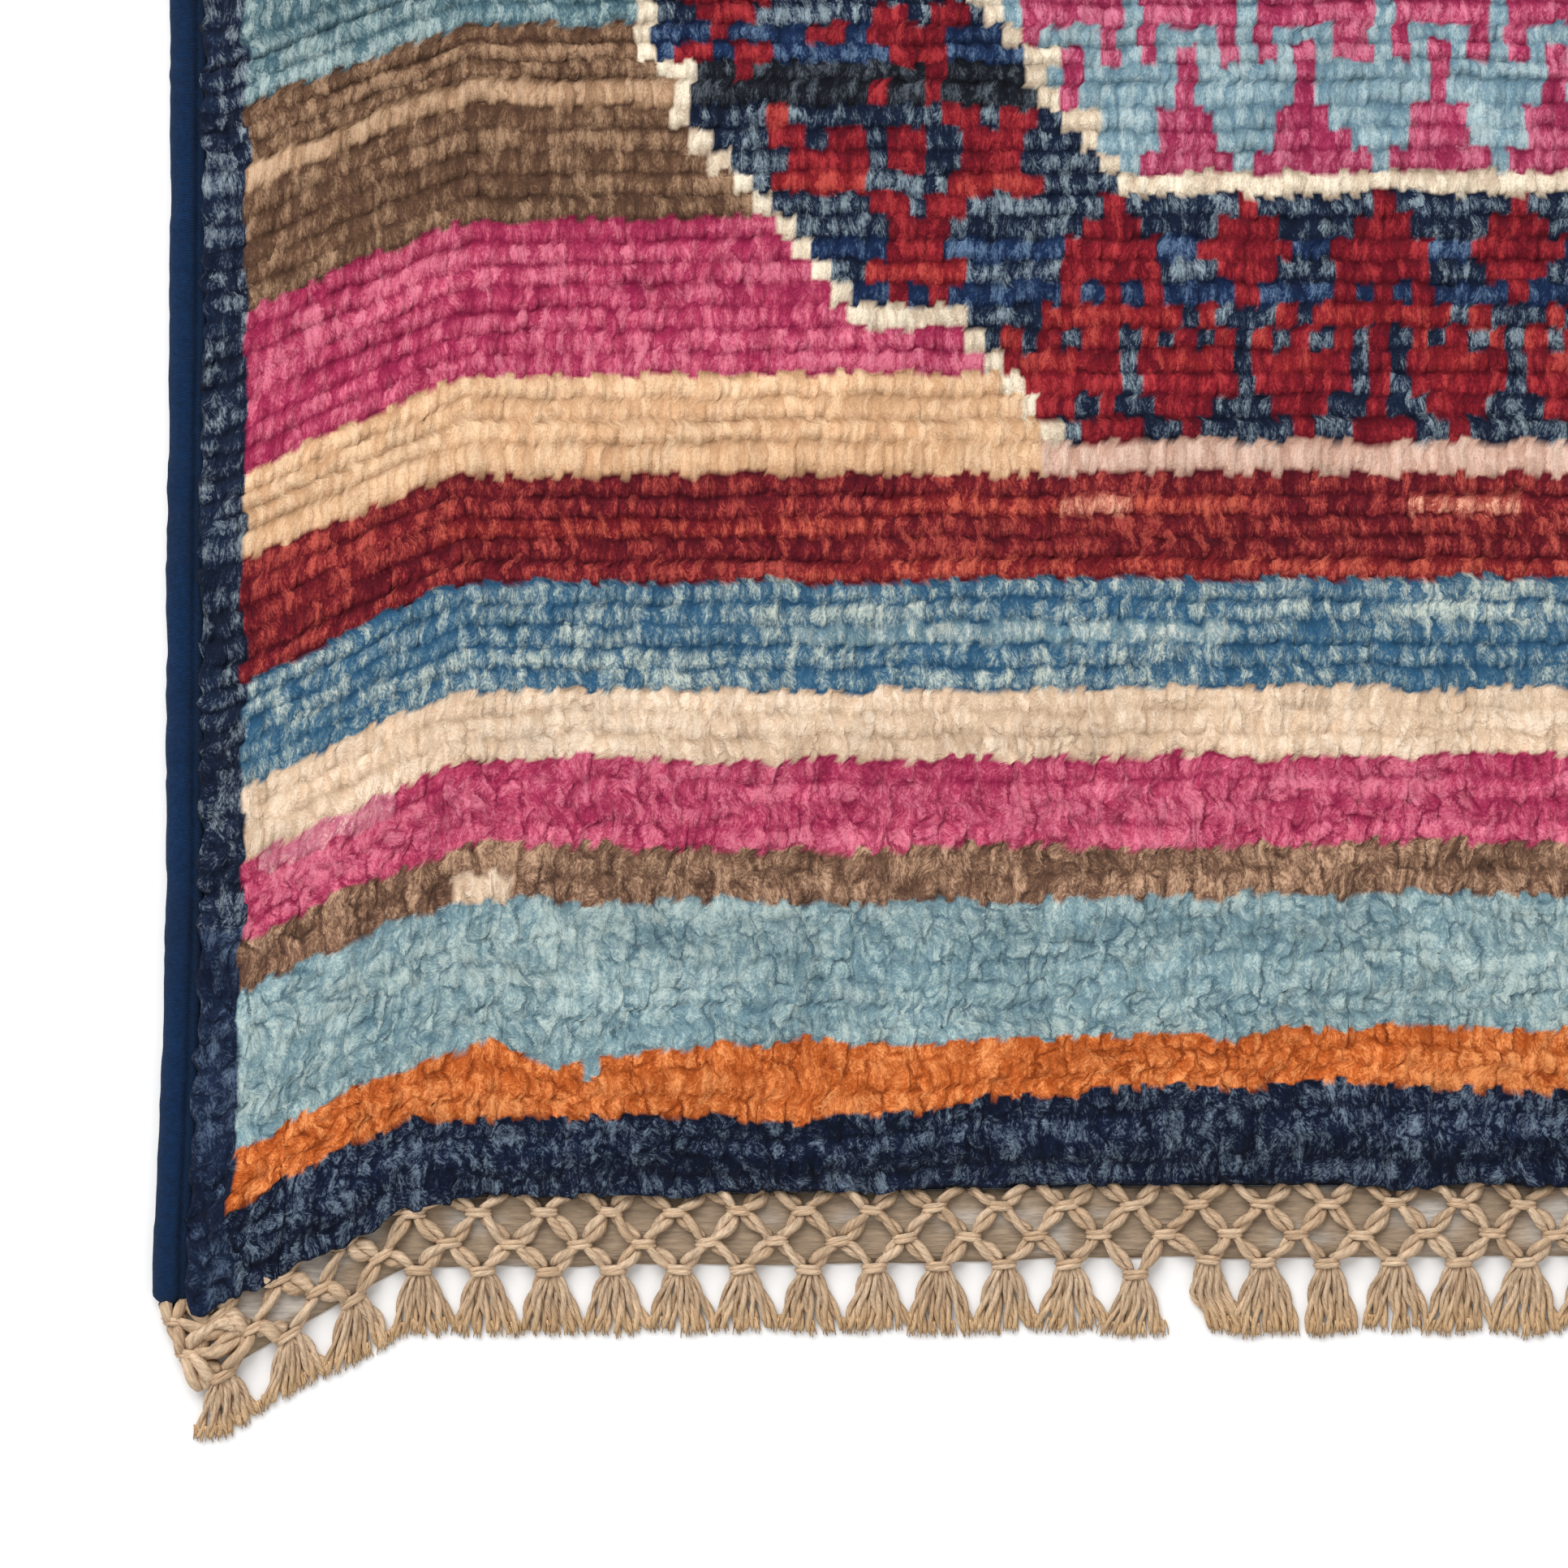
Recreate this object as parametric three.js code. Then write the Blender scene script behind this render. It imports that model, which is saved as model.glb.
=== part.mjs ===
// A small hand-knotted wool rug that lies flat on the floor.
// A one-piece pile field has an overcast double cord along each long side, a short flat-woven
// strip past each end, and warp ends knotted into a three-row net that ends in tassels.
// Millimetres, +Z up, X across the rug, Y along it. The front end is at -Y.

import * as THREE from 'three';

// Driving dimensions
const RUG_WIDTH = 600;
const PILE_LENGTH = 830;
const PILE_THICKNESS = 8;
const SELVEDGE_WIDTH = 7.2;
const SEAM = 0.3;
const KILIM_DEPTH = 13.2;
const KILIM_THICKNESS = 1.2;
const KILIM_HALF_WIDTH = 291;
const KILIM_TAPER = 5;
const FRINGE_REACH = 28.3;
const TASSELS_PER_END = 49;

const HALF_WIDTH = RUG_WIDTH / 2;
const PILE_HALF_WIDTH = HALF_WIDTH - SELVEDGE_WIDTH - SEAM;
const FRINGE_HALF_WIDTH = 288.5;
const TASSEL_PITCH = (2 * FRINGE_HALF_WIDTH) / (TASSELS_PER_END - 1);

// The woven rows hang lower towards both sides, on a slope that levels off at the very side.
// Each line gives how far the rows sink in all, for one place along the rug.
const ROW_DROOP = [
  { along: 0, sink: 26.5 },
  { along: 27, sink: 28.5 },
  { along: 58, sink: 24.5 },
  { along: 78, sink: 27.5 },
  { along: 92, sink: 25.2 },
  { along: 112, sink: 26.5 },
  { along: 131, sink: 22 },
  { along: 150, sink: 25.5 },
  { along: 180, sink: 23.8 },
  { along: 215, sink: 20.3 },
  { along: 415, sink: 13 },
  { along: PILE_LENGTH, sink: 7 },
];
const DROOP_REACH = 56;
const DROOP_REACH_AT_FRONT = 46;
const DROOP_POWER = 1.1;
const DROOP_LEVEL = { from: 0.75, share: 0.2 };

// The front end of the pile also hangs a little lower on its left half
const FRONT_DIP = [
  { across: -HALF_WIDTH, dip: 1.8 },
  { across: -244, dip: 1.8 },
  { across: -183, dip: 1.4 },
  { across: -122, dip: 0.2 },
  { across: -61, dip: 0 },
];
const FRONT_UNEVEN_REACH = 55;

// Small differences between the two long edges, as waves along the rug
const EDGE_WAVES = [
  { side: -1, length: 310, height: 0.3, phase: 5.6 },
  { side: -1, length: 137, height: 0.2, phase: 2.3 },
  { side: 1, length: 270, height: 1.0, phase: 0.2 },
  { side: 1, length: 149, height: 0.4, phase: 4.1 },
];
const CORNER_FLARE = 3.1;
const CORNER_FLARE_REACH = 55;
const FRINGE_DRAW_IN = 0.1;

// Long, low swells of the pile surface
const SWELLS = [
  { across: 410, along: 260, height: 0.22, phase: 0.4 },
  { across: 190, along: -330, height: 0.16, phase: 2.1 },
  { across: -260, along: 120, height: 0.1, phase: 4.4 },
];
const PILE_EDGE_ROUNDING = 7;
const PILE_EDGE_DROP = 2.6;

function seededRandom(seed) {
  let state = seed;
  return () => {
    state = (state * 1664525 + 1013904223) % 4294967296;
    return state / 4294967296;
  };
}

function smoothStep(t) {
  const s = Math.min(Math.max(t, 0), 1);
  return s * s * (3 - 2 * s);
}

// How much of the front end's unevenness a place along the rug has
function frontShare(along) {
  return 1 - smoothStep(along / FRONT_UNEVEN_REACH);
}

// How far the rows sink in all, at a place along the rug
function sinkAt(along) {
  const last = ROW_DROOP.length - 1;
  if (along <= ROW_DROOP[0].along) return ROW_DROOP[0].sink;
  if (along >= ROW_DROOP[last].along) return ROW_DROOP[last].sink;
  const i = ROW_DROOP.findIndex((row) => row.along > along);
  const before = ROW_DROOP[i - 1];
  const after = ROW_DROOP[i];
  const t = (along - before.along) / (after.along - before.along);
  return before.sink + (after.sink - before.sink) * smoothStep(t);
}

// What part of that sink a place gets
function droopShare(across, along) {
  const fromSide = Math.max(HALF_WIDTH - Math.abs(across), 0);
  const reach = DROOP_REACH + (DROOP_REACH_AT_FRONT - DROOP_REACH) * frontShare(along);
  const bend = Math.max(reach - fromSide, 0) / reach;
  const level = smoothStep((bend - DROOP_LEVEL.from) / (1 - DROOP_LEVEL.from));
  return bend ** DROOP_POWER * (1 - DROOP_LEVEL.share * level);
}

function frontDip(across) {
  const i = FRONT_DIP.findIndex((place) => place.across > across);
  if (i < 1) return i === 0 ? FRONT_DIP[0].dip : 0;
  const before = FRONT_DIP[i - 1];
  const after = FRONT_DIP[i];
  const t = (across - before.across) / (after.across - before.across);
  return before.dip + (after.dip - before.dip) * t;
}

// Half the rug's width at a place along it, on one side (-1 left, 1 right)
function halfWidthAt(side, along) {
  const inside = Math.min(Math.max(along, 0), PILE_LENGTH);
  const past = Math.max(-along, along - PILE_LENGTH, 0);
  let half = HALF_WIDTH + CORNER_FLARE * Math.exp(-((inside / CORNER_FLARE_REACH) ** 2));
  for (const wave of EDGE_WAVES) {
    if (wave.side !== side) continue;
    half += wave.height * Math.sin((2 * Math.PI * inside) / wave.length + wave.phase);
  }
  return half - FRINGE_DRAW_IN * past;
}

// A point of the flat weave (across from the middle, along from the front end of the pile)
// goes to where it lies on the floor.
function lay(across, along) {
  const side = across < 0 ? -1 : 1;
  const x = (across * halfWidthAt(side, along)) / HALF_WIDTH;
  const sunk = sinkAt(along) * droopShare(across, along);
  const y = along - sunk - frontDip(across) * frontShare(along);
  return [x, y];
}

// Moves every point of a geometry by a rule, which gets and returns [x, y, z]
function reshape(geometry, rule) {
  const points = geometry.attributes.position;
  for (let i = 0; i < points.count; i += 1) {
    const [x, y, z] = rule(points.getX(i), points.getY(i), points.getZ(i));
    points.setXYZ(i, x, y, z);
  }
  geometry.computeVertexNormals();
  return geometry;
}

// Steps of the weave's grid. Neighbouring pieces share them, so that their seams run parallel.
const STEPS_ACROSS = 22;
const STEPS_IN_DROOP = 7;
const STEPS_ALONG = 28;

// Sets grid lines along the rug closer together towards its ends
function crowdEnds(t) {
  return 1.5 * t - 0.5 * t ** 3;
}

// Sets grid lines across the rug closer together where the rows droop
function crowdDroop(t, halfWidth) {
  const flatHalf = HALF_WIDTH - DROOP_REACH;
  const flatShare = 1 - (2 * STEPS_IN_DROOP) / STEPS_ACROSS;
  const share = Math.abs(t);
  const into = (share - flatShare) / (1 - flatShare);
  const place = into < 0 ? (share / flatShare) * flatHalf : flatHalf + (halfWidth - flatHalf) * into;
  return Math.sign(t) * place;
}

function pileHeight(across, along) {
  const fromSide = PILE_HALF_WIDTH - Math.abs(across);
  const fromEnd = Math.min(along, PILE_LENGTH - along);
  const inward = Math.min(fromSide, fromEnd) / PILE_EDGE_ROUNDING;
  let height = PILE_THICKNESS - PILE_EDGE_DROP * (1 - smoothStep(inward));
  for (const swell of SWELLS) {
    const turn = across / swell.across + along / swell.along;
    height += swell.height * Math.sin(2 * Math.PI * turn + swell.phase);
  }
  return height;
}

// The pile field: a box grid laid out to the rug's outline, its top rounded at the rim
function makePile() {
  const box = new THREE.BoxGeometry(2, 2, 1, STEPS_ACROSS, STEPS_ALONG, 1);
  return reshape(box, (tx, ty, tz) => {
    const across = crowdDroop(tx, PILE_HALF_WIDTH);
    const along = (PILE_LENGTH * (1 + crowdEnds(ty))) / 2;
    const [x, y] = lay(across, along);
    return [x, y, tz > 0 ? pileHeight(across, along) : 0];
  });
}

// The overcast side cords: one section with a thick outer and a thin inner lobe, flat below,
// run along the edge and closed round at both ends
const CORD_SECTION = [
  { inward: 1.1, up: 0 },
  { inward: 6.5, up: 0 },
  { inward: 7.2, up: 1.4 },
  { inward: 6.7, up: 3.2 },
  { inward: 5.7, up: 3.5 },
  { inward: 5.0, up: 2.9 },
  { inward: 4.3, up: 4.5 },
  { inward: 2.6, up: 5.2 },
  { inward: 0.8, up: 4.4 },
  { inward: 0, up: 2.5 },
];
const CORD_END_ROUNDING = 3;

function makeSelvedge(side) {
  const outline = new THREE.Shape(CORD_SECTION.map((p) => new THREE.Vector2(p.inward, p.up)));
  const bar = new THREE.ExtrudeGeometry(outline, {
    depth: 1,
    steps: STEPS_ALONG,
    bevelEnabled: false,
  });
  return reshape(bar, (inward, up, t) => {
    const turn = side < 0 ? 1 - t : t;
    const along = (PILE_LENGTH * (1 + crowdEnds(2 * turn - 1))) / 2;
    const fromEnd = Math.min(along, PILE_LENGTH - along);
    const full = 0.55 + 0.45 * smoothStep(fromEnd / CORD_END_ROUNDING);
    const middle = SELVEDGE_WIDTH / 2;
    const across = side * (HALF_WIDTH - middle - (inward - middle) * full);
    const [x, y] = lay(across, along);
    return [x, y, up * full];
  });
}

// The flat-woven strip past one end of the pile (end -1 front, 1 back)
function makeKilimEnd(end) {
  const box = new THREE.BoxGeometry(2, 2, 1, STEPS_ACROSS, 1, 1);
  return reshape(box, (tx, ty, tz) => {
    const outward = (1 + end * ty) / 2;
    const across = crowdDroop(tx, KILIM_HALF_WIDTH - KILIM_TAPER * outward);
    const out = SEAM + KILIM_DEPTH * outward;
    const [x, y] = lay(across, end < 0 ? -out : PILE_LENGTH + out);
    return [x, y, tz > 0 ? KILIM_THICKNESS : 0];
  });
}

// The knotted net. Rows are counted outwards from the pile, and the middle row is staggered.
const NET_FLOOR = KILIM_THICKNESS + SEAM;
const CORD_RISE = 1.9;
const KNOT_RISE = 2.4;
const NET_ROWS = [
  { out: 3.4, knots: TASSELS_PER_END, scatter: 0.25 },
  { out: 9.1, knots: TASSELS_PER_END - 1, scatter: 0.3 },
  { out: 14.2, knots: TASSELS_PER_END, scatter: 0.2 },
];
const STUB = { out: 0.9, aside: 3.6, width: 2.6 };
const SIDE_CORD = { aside: 6.4, width: 2.4 };
const KNOT_HALF = { width: 2.6, shoulder: 0.3, tip: 2.0, wrap: 2.0, lip: 1.4, lipWidth: 1.1 };

// Three locks make a tassel. Each has a root on its knot, a bend where it meets the floor and a
// tip, given by its middle's offset from the tassel's, its width, its height and its reach.
const LOCKS = [
  { bend: -3.5, tip: -3.95, bendWidth: 2.9, tipWidth: 3.2 },
  { bend: 0, tip: 0, bendWidth: 3.2, tipWidth: 3.4 },
  { bend: 3.5, tip: 3.95, bendWidth: 2.9, tipWidth: 3.2 },
];
const LOCK_BEND_OUT = 5.6;
const LOCK_BEND_HEIGHT = 2.5;
const LOCK_TIP_HEIGHT = 1.5;
const LOCK_LENGTH = FRINGE_REACH - NET_ROWS[2].out;
const LEAN = 0.12;
const UNEVEN_LENGTH = { tassel: 0.7, lock: 0.4 };

// Tassels that were tied longer, set aside or combed over
const ODD_TASSELS = [
  { end: -1, tassel: 14, lower: 2.2, aside: 0, spread: 0.95 },
  { end: -1, tassel: 15, lower: -0.3, aside: 1.9, spread: 0.7 },
  { end: -1, tassel: 31, lower: 0.8, aside: 0.6, spread: 0.85 },
  { end: 1, tassel: 9, lower: 1.2, aside: -0.5, spread: 0.85 },
  { end: 1, tassel: 34, lower: 0.6, aside: 0.7, spread: 0.8 },
];

// Collects corners and triangles of one closed body. At the back end the net is a mirror
// image, so its triangles turn the other way.
function bodyBuilder(end) {
  const corners = [];
  const triangles = [];
  return {
    corner(across, out, height) {
      const [x, y] = lay(across, end < 0 ? -out : PILE_LENGTH + out);
      corners.push(x, y, height);
      return corners.length / 3 - 1;
    },
    face(...ring) {
      for (let i = 1; i < ring.length - 1; i += 1) {
        const turn = [ring[0], ring[i], ring[i + 1]];
        triangles.push(...(end < 0 ? turn : turn.reverse()));
      }
    },
    geometry() {
      const geometry = new THREE.BufferGeometry();
      geometry.setAttribute('position', new THREE.Float32BufferAttribute(corners, 3));
      geometry.setIndex(triangles);
      geometry.computeVertexNormals();
      return geometry;
    },
  };
}

// A three-sided strand between two sections, each { left, right, ridge }, seen with the pile up
function strand(body, upper, lower) {
  body.face(upper.left, lower.left, lower.ridge, upper.ridge);
  body.face(upper.ridge, lower.ridge, lower.right, upper.right);
  body.face(upper.left, upper.right, lower.right, lower.left);
}

function section(body, across, out, floor, width, height) {
  return {
    left: body.corner(across - width / 2, out, floor),
    right: body.corner(across + width / 2, out, floor),
    ridge: body.corner(across, out, floor + height),
  };
}

// Two fans of triangles from the ends of a knot's wrapped thread to the points around it
function fanFrom(body, nearEnd, farEnd, loop) {
  const turn = (loop.length - 1) / 2;
  for (let i = 0; i < loop.length - 1; i += 1) {
    if (i === turn) body.face(nearEnd, loop[i], farEnd);
    body.face(i < turn ? nearEnd : farEnd, loop[i], loop[i + 1]);
  }
}

// One knot: a block with two cords above it and two cords or three locks below it, and the
// wrapped thread as a ridge across
function knot(body, across, out, lowerCount) {
  const half = KNOT_HALF;
  const corner = (dx, dOut, rise) => body.corner(across + dx, out + dOut, NET_FLOOR + rise);
  const left = corner(-half.width, -half.shoulder, 0);
  const right = corner(half.width, -half.shoulder, 0);
  const top = corner(0, -half.tip, 0);
  const leftRidge = corner(-half.width / 2, -half.tip / 2, CORD_RISE);
  const rightRidge = corner(half.width / 2, -half.tip / 2, CORD_RISE);
  const wrapLeft = corner(-half.wrap, 0, KNOT_RISE);
  const wrapRight = corner(half.wrap, 0, KNOT_RISE);
  const feet = [corner(-half.width, half.shoulder, 0)];
  if (lowerCount === 2) feet.push(corner(0, half.tip, 0));
  if (lowerCount === 3) {
    feet.push(corner(-half.lipWidth, half.lip, 0), corner(half.lipWidth, half.lip, 0));
  }
  feet.push(corner(half.width, half.shoulder, 0));
  const ridges = [];
  for (let i = 0; i < lowerCount; i += 1) {
    const share = (2 * i + 1) / lowerCount - 1;
    ridges.push(corner(share * half.width, half.lip - Math.abs(share) * half.lip / 2, CORD_RISE));
  }
  const lowerLoop = [feet[0]];
  ridges.forEach((ridge, i) => lowerLoop.push(ridge, feet[i + 1]));

  fanFrom(body, wrapRight, wrapLeft, [right, rightRidge, top, leftRidge, left]);
  fanFrom(body, wrapLeft, wrapRight, lowerLoop);
  body.face(wrapLeft, left, feet[0]);
  body.face(wrapRight, feet[lowerCount], right);
  body.face(left, top, right, ...[...feet].reverse());
  return {
    upper: [
      { left, right: top, ridge: leftRidge },
      { left: top, right, ridge: rightRidge },
    ],
    lower: ridges.map((ridge, i) => ({ left: feet[i], right: feet[i + 1], ridge })),
  };
}

function makeFringe(end) {
  const random = seededRandom(end < 0 ? 11 : 23);
  const scatter = (amount) => (2 * random() - 1) * amount;
  const body = bodyBuilder(end);
  const rows = NET_ROWS.map((row, r) => {
    const places = [];
    for (let k = 0; k < row.knots; k += 1) {
      const odd = r === 2 && ODD_TASSELS.find((o) => o.end === end && o.tassel === k);
      const across = (k - (row.knots - 1) / 2) * TASSEL_PITCH + scatter(row.scatter);
      const out = row.out + scatter(row.scatter);
      places.push({
        across: across + (odd ? odd.aside : 0),
        out: out + (odd ? odd.lower : 0),
        spread: odd ? odd.spread : 1,
        lean: scatter(LEAN),
      });
    }
    return places.map((place) => ({
      ...place,
      ...knot(body, place.across, place.out, r === 2 ? 3 : 2),
    }));
  });
  const [first, middle, last] = rows;

  // Stubs that come out from under the pile, two to each knot of the first row
  for (const { across, upper } of first) {
    upper.forEach((foot, i) => {
      const toSide = i === 0 ? -1 : 1;
      const rootAcross = across + toSide * STUB.aside;
      const root = section(body, rootAcross, STUB.out, NET_FLOOR, STUB.width, CORD_RISE);
      strand(body, root, foot);
      body.face(root.left, root.ridge, root.right);
    });
  }

  // Cords between the rows, and one longer cord down each side of the net
  middle.forEach(({ upper }, k) => {
    strand(body, first[k].lower[1], upper[0]);
    strand(body, first[k + 1].lower[0], upper[1]);
  });
  middle.forEach(({ lower }, k) => {
    strand(body, lower[0], last[k].upper[1]);
    strand(body, lower[1], last[k + 1].upper[0]);
  });
  for (const side of [-1, 1]) {
    const k = side < 0 ? 0 : TASSELS_PER_END - 1;
    const lane = side < 0 ? 0 : 1;
    const half = (NET_ROWS[0].out + NET_ROWS[2].out) / 2;
    const bowAcross = first[k].across + side * SIDE_CORD.aside;
    const bow = section(body, bowAcross, half, NET_FLOOR, SIDE_CORD.width, CORD_RISE);
    strand(body, first[k].lower[lane], bow);
    strand(body, bow, last[k].upper[lane]);
  }

  // Tassels: their locks come down off the woven strip and lie level on the floor
  for (const { across, out, lean, spread, lower } of last) {
    const tasselLength = LOCK_LENGTH + scatter(UNEVEN_LENGTH.tassel);
    const trimmed = end < 0 ? frontDip(across) : 0;
    const tipsOut = (out + NET_ROWS[2].out) / 2 + tasselLength - trimmed;
    lower.forEach((root, i) => {
      const lock = LOCKS[i];
      const bendAcross = across + lock.bend * spread;
      const tipAcross = across + lock.tip * spread + lean;
      const tipOut = tipsOut + scatter(UNEVEN_LENGTH.lock);
      const bendWidth = lock.bendWidth * spread;
      const tipWidth = lock.tipWidth * spread;
      const bend = section(body, bendAcross, out + LOCK_BEND_OUT, 0, bendWidth, LOCK_BEND_HEIGHT);
      const tip = section(body, tipAcross, tipOut, 0, tipWidth, LOCK_TIP_HEIGHT);
      strand(body, root, bend);
      strand(body, bend, tip);
      body.face(tip.left, tip.right, tip.ridge);
    });
  }
  return body.geometry();
}

// Yarns and finishes
function woolFinish(color) {
  return new THREE.MeshStandardMaterial({ color, roughness: 0.95, metalness: 0 });
}
const PILE_ROSE = 0xb6546a;
const SELVEDGE_NAVY = 0x1b3654;
const WARP_COTTON = 0xb49a7f;

const rug = new THREE.Group();

function addPiece(name, geometry, color) {
  const piece = new THREE.Mesh(geometry, woolFinish(color));
  piece.name = name;
  rug.add(piece);
}

addPiece('pile', makePile(), PILE_ROSE);
addPiece('selvedge_left', makeSelvedge(-1), SELVEDGE_NAVY);
addPiece('selvedge_right', makeSelvedge(1), SELVEDGE_NAVY);
addPiece('kilim_end_front', makeKilimEnd(-1), WARP_COTTON);
addPiece('kilim_end_back', makeKilimEnd(1), WARP_COTTON);
addPiece('fringe_front', makeFringe(-1), WARP_COTTON);
addPiece('fringe_back', makeFringe(1), WARP_COTTON);

// The origin is on the floor, under the middle of the whole rug
const extent = new THREE.Box3().setFromObject(rug);
const middle = extent.getCenter(new THREE.Vector3());
rug.children.forEach((piece) => piece.position.set(-middle.x, -middle.y, 0));

export default rug;
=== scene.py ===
import math
from collections import namedtuple

import bpy
import numpy as np
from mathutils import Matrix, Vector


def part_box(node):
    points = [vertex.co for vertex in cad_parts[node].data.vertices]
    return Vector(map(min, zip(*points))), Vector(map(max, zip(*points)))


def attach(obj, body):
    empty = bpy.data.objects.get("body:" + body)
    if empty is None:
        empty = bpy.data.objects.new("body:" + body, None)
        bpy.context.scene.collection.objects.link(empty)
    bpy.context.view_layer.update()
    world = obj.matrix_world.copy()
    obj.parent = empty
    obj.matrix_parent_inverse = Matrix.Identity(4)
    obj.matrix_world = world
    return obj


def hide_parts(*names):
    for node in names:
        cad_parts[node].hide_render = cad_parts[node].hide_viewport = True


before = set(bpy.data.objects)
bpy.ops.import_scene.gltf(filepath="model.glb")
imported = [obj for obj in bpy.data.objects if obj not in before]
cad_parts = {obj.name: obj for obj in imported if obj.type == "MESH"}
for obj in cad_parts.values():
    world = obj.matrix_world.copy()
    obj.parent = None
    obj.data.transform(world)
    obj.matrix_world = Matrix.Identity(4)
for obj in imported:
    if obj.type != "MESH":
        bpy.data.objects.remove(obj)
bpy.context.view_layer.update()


# The ground weave: cotton warps with one wool knot after another tied across them, each row
# beaten down with picks of weft. The rows sag towards both sides. Its flat back lies on the
# floor and shows the same design as the pile, one spot to two knots.

MM = 0.001
RUG_HALF = 300 * MM
PILE_HALF = 292.5 * MM
PILE_LENGTH = 830 * MM
WEAVE_THICKNESS = 2 * MM

# How far the rows sink in all, at places along the rug. The slope levels off at the very side.
DROOP_PLACES = np.array([0, 27, 58, 78, 92, 112, 131, 150, 180, 215, 415, 830]) * MM
DROOP_SINKS = np.array([26.5, 28.5, 24.5, 27.5, 25.2, 26.5, 22, 25.5, 23.8, 20.3, 13, 7]) * MM
DROOP_REACH = 56 * MM
DROOP_REACH_AT_FRONT = 46 * MM
DROOP_POWER = 1.1
LEVEL_FROM = 0.75
LEVEL_SHARE = 0.2

# The front end of the pile also hangs a little lower on its left half
DIP_ACROSS = np.array([-244, -183, -122, -61]) * MM
DIP_DEPTHS = np.array([1.8, 1.4, 0.2, 0]) * MM
FRONT_UNEVEN_REACH = 55 * MM

# Small waves of the long edges: side, length, height and phase
EDGE_WAVES = [
    (-1, 310 * MM, 0.3 * MM, 5.6),
    (-1, 137 * MM, 0.2 * MM, 2.3),
    (1, 270 * MM, 1.0 * MM, 0.2),
    (1, 149 * MM, 0.4 * MM, 4.1),
]
CORNER_FLARE = 3.1 * MM
CORNER_FLARE_REACH = 55 * MM
FRINGE_DRAW_IN = 0.1


def ease(t):
    """Goes from 0 to 1 as t does, with a soft start and end."""
    t = np.clip(t, 0, 1)
    return t * t * (3 - 2 * t)


def droop(along):
    i = np.clip(np.searchsorted(DROOP_PLACES, along, side="right") - 1, 0, len(DROOP_PLACES) - 2)
    t = (along - DROOP_PLACES[i]) / (DROOP_PLACES[i + 1] - DROOP_PLACES[i])
    return DROOP_SINKS[i] + (DROOP_SINKS[i + 1] - DROOP_SINKS[i]) * ease(t)


def woven_place(across, along):
    """Where a spot of an even cloth lies in the uneven one, measured from its front end."""
    side = np.where(across < 0, -1, 1)
    inside = np.clip(along, 0, PILE_LENGTH)
    past = np.abs(along - inside)
    flare = CORNER_FLARE * np.exp(-((inside / CORNER_FLARE_REACH) ** 2))
    half = RUG_HALF + flare - FRINGE_DRAW_IN * past
    for wave_side, length, height, phase in EDGE_WAVES:
        half = half + (side == wave_side) * height * np.sin(math.tau * inside / length + phase)
    at_front = 1 - ease(along / FRONT_UNEVEN_REACH)
    reach = DROOP_REACH + (DROOP_REACH_AT_FRONT - DROOP_REACH) * at_front
    bend = np.clip(1 - (RUG_HALF - np.abs(across)) / reach, 0, 1)
    share = bend**DROOP_POWER * (1 - LEVEL_SHARE * ease((bend - LEVEL_FROM) / (1 - LEVEL_FROM)))
    dip = np.interp(across, DIP_ACROSS, DIP_DEPTHS) * at_front
    return across * half / RUG_HALF, along - droop(along) * share - dip


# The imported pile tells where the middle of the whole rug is
pile_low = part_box("pile")[0]
edge_steps = np.linspace(0, 1, 1001)
front_edge = woven_place(PILE_HALF * (2 * edge_steps - 1), 0 * edge_steps)
left_edge = woven_place(-PILE_HALF + 0 * edge_steps, PILE_LENGTH * edge_steps)
CENTRE_X = left_edge[0].min() - pile_low[0]
CENTRE_Y = front_edge[1].min() - pile_low[1]


def lay(across, along, height):
    """Takes points of the even cloth to where they lie on the floor."""
    x, y = woven_place(across, along)
    return np.stack([x - CENTRE_X, y - CENTRE_Y, height + 0 * x], axis=-1)


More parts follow.
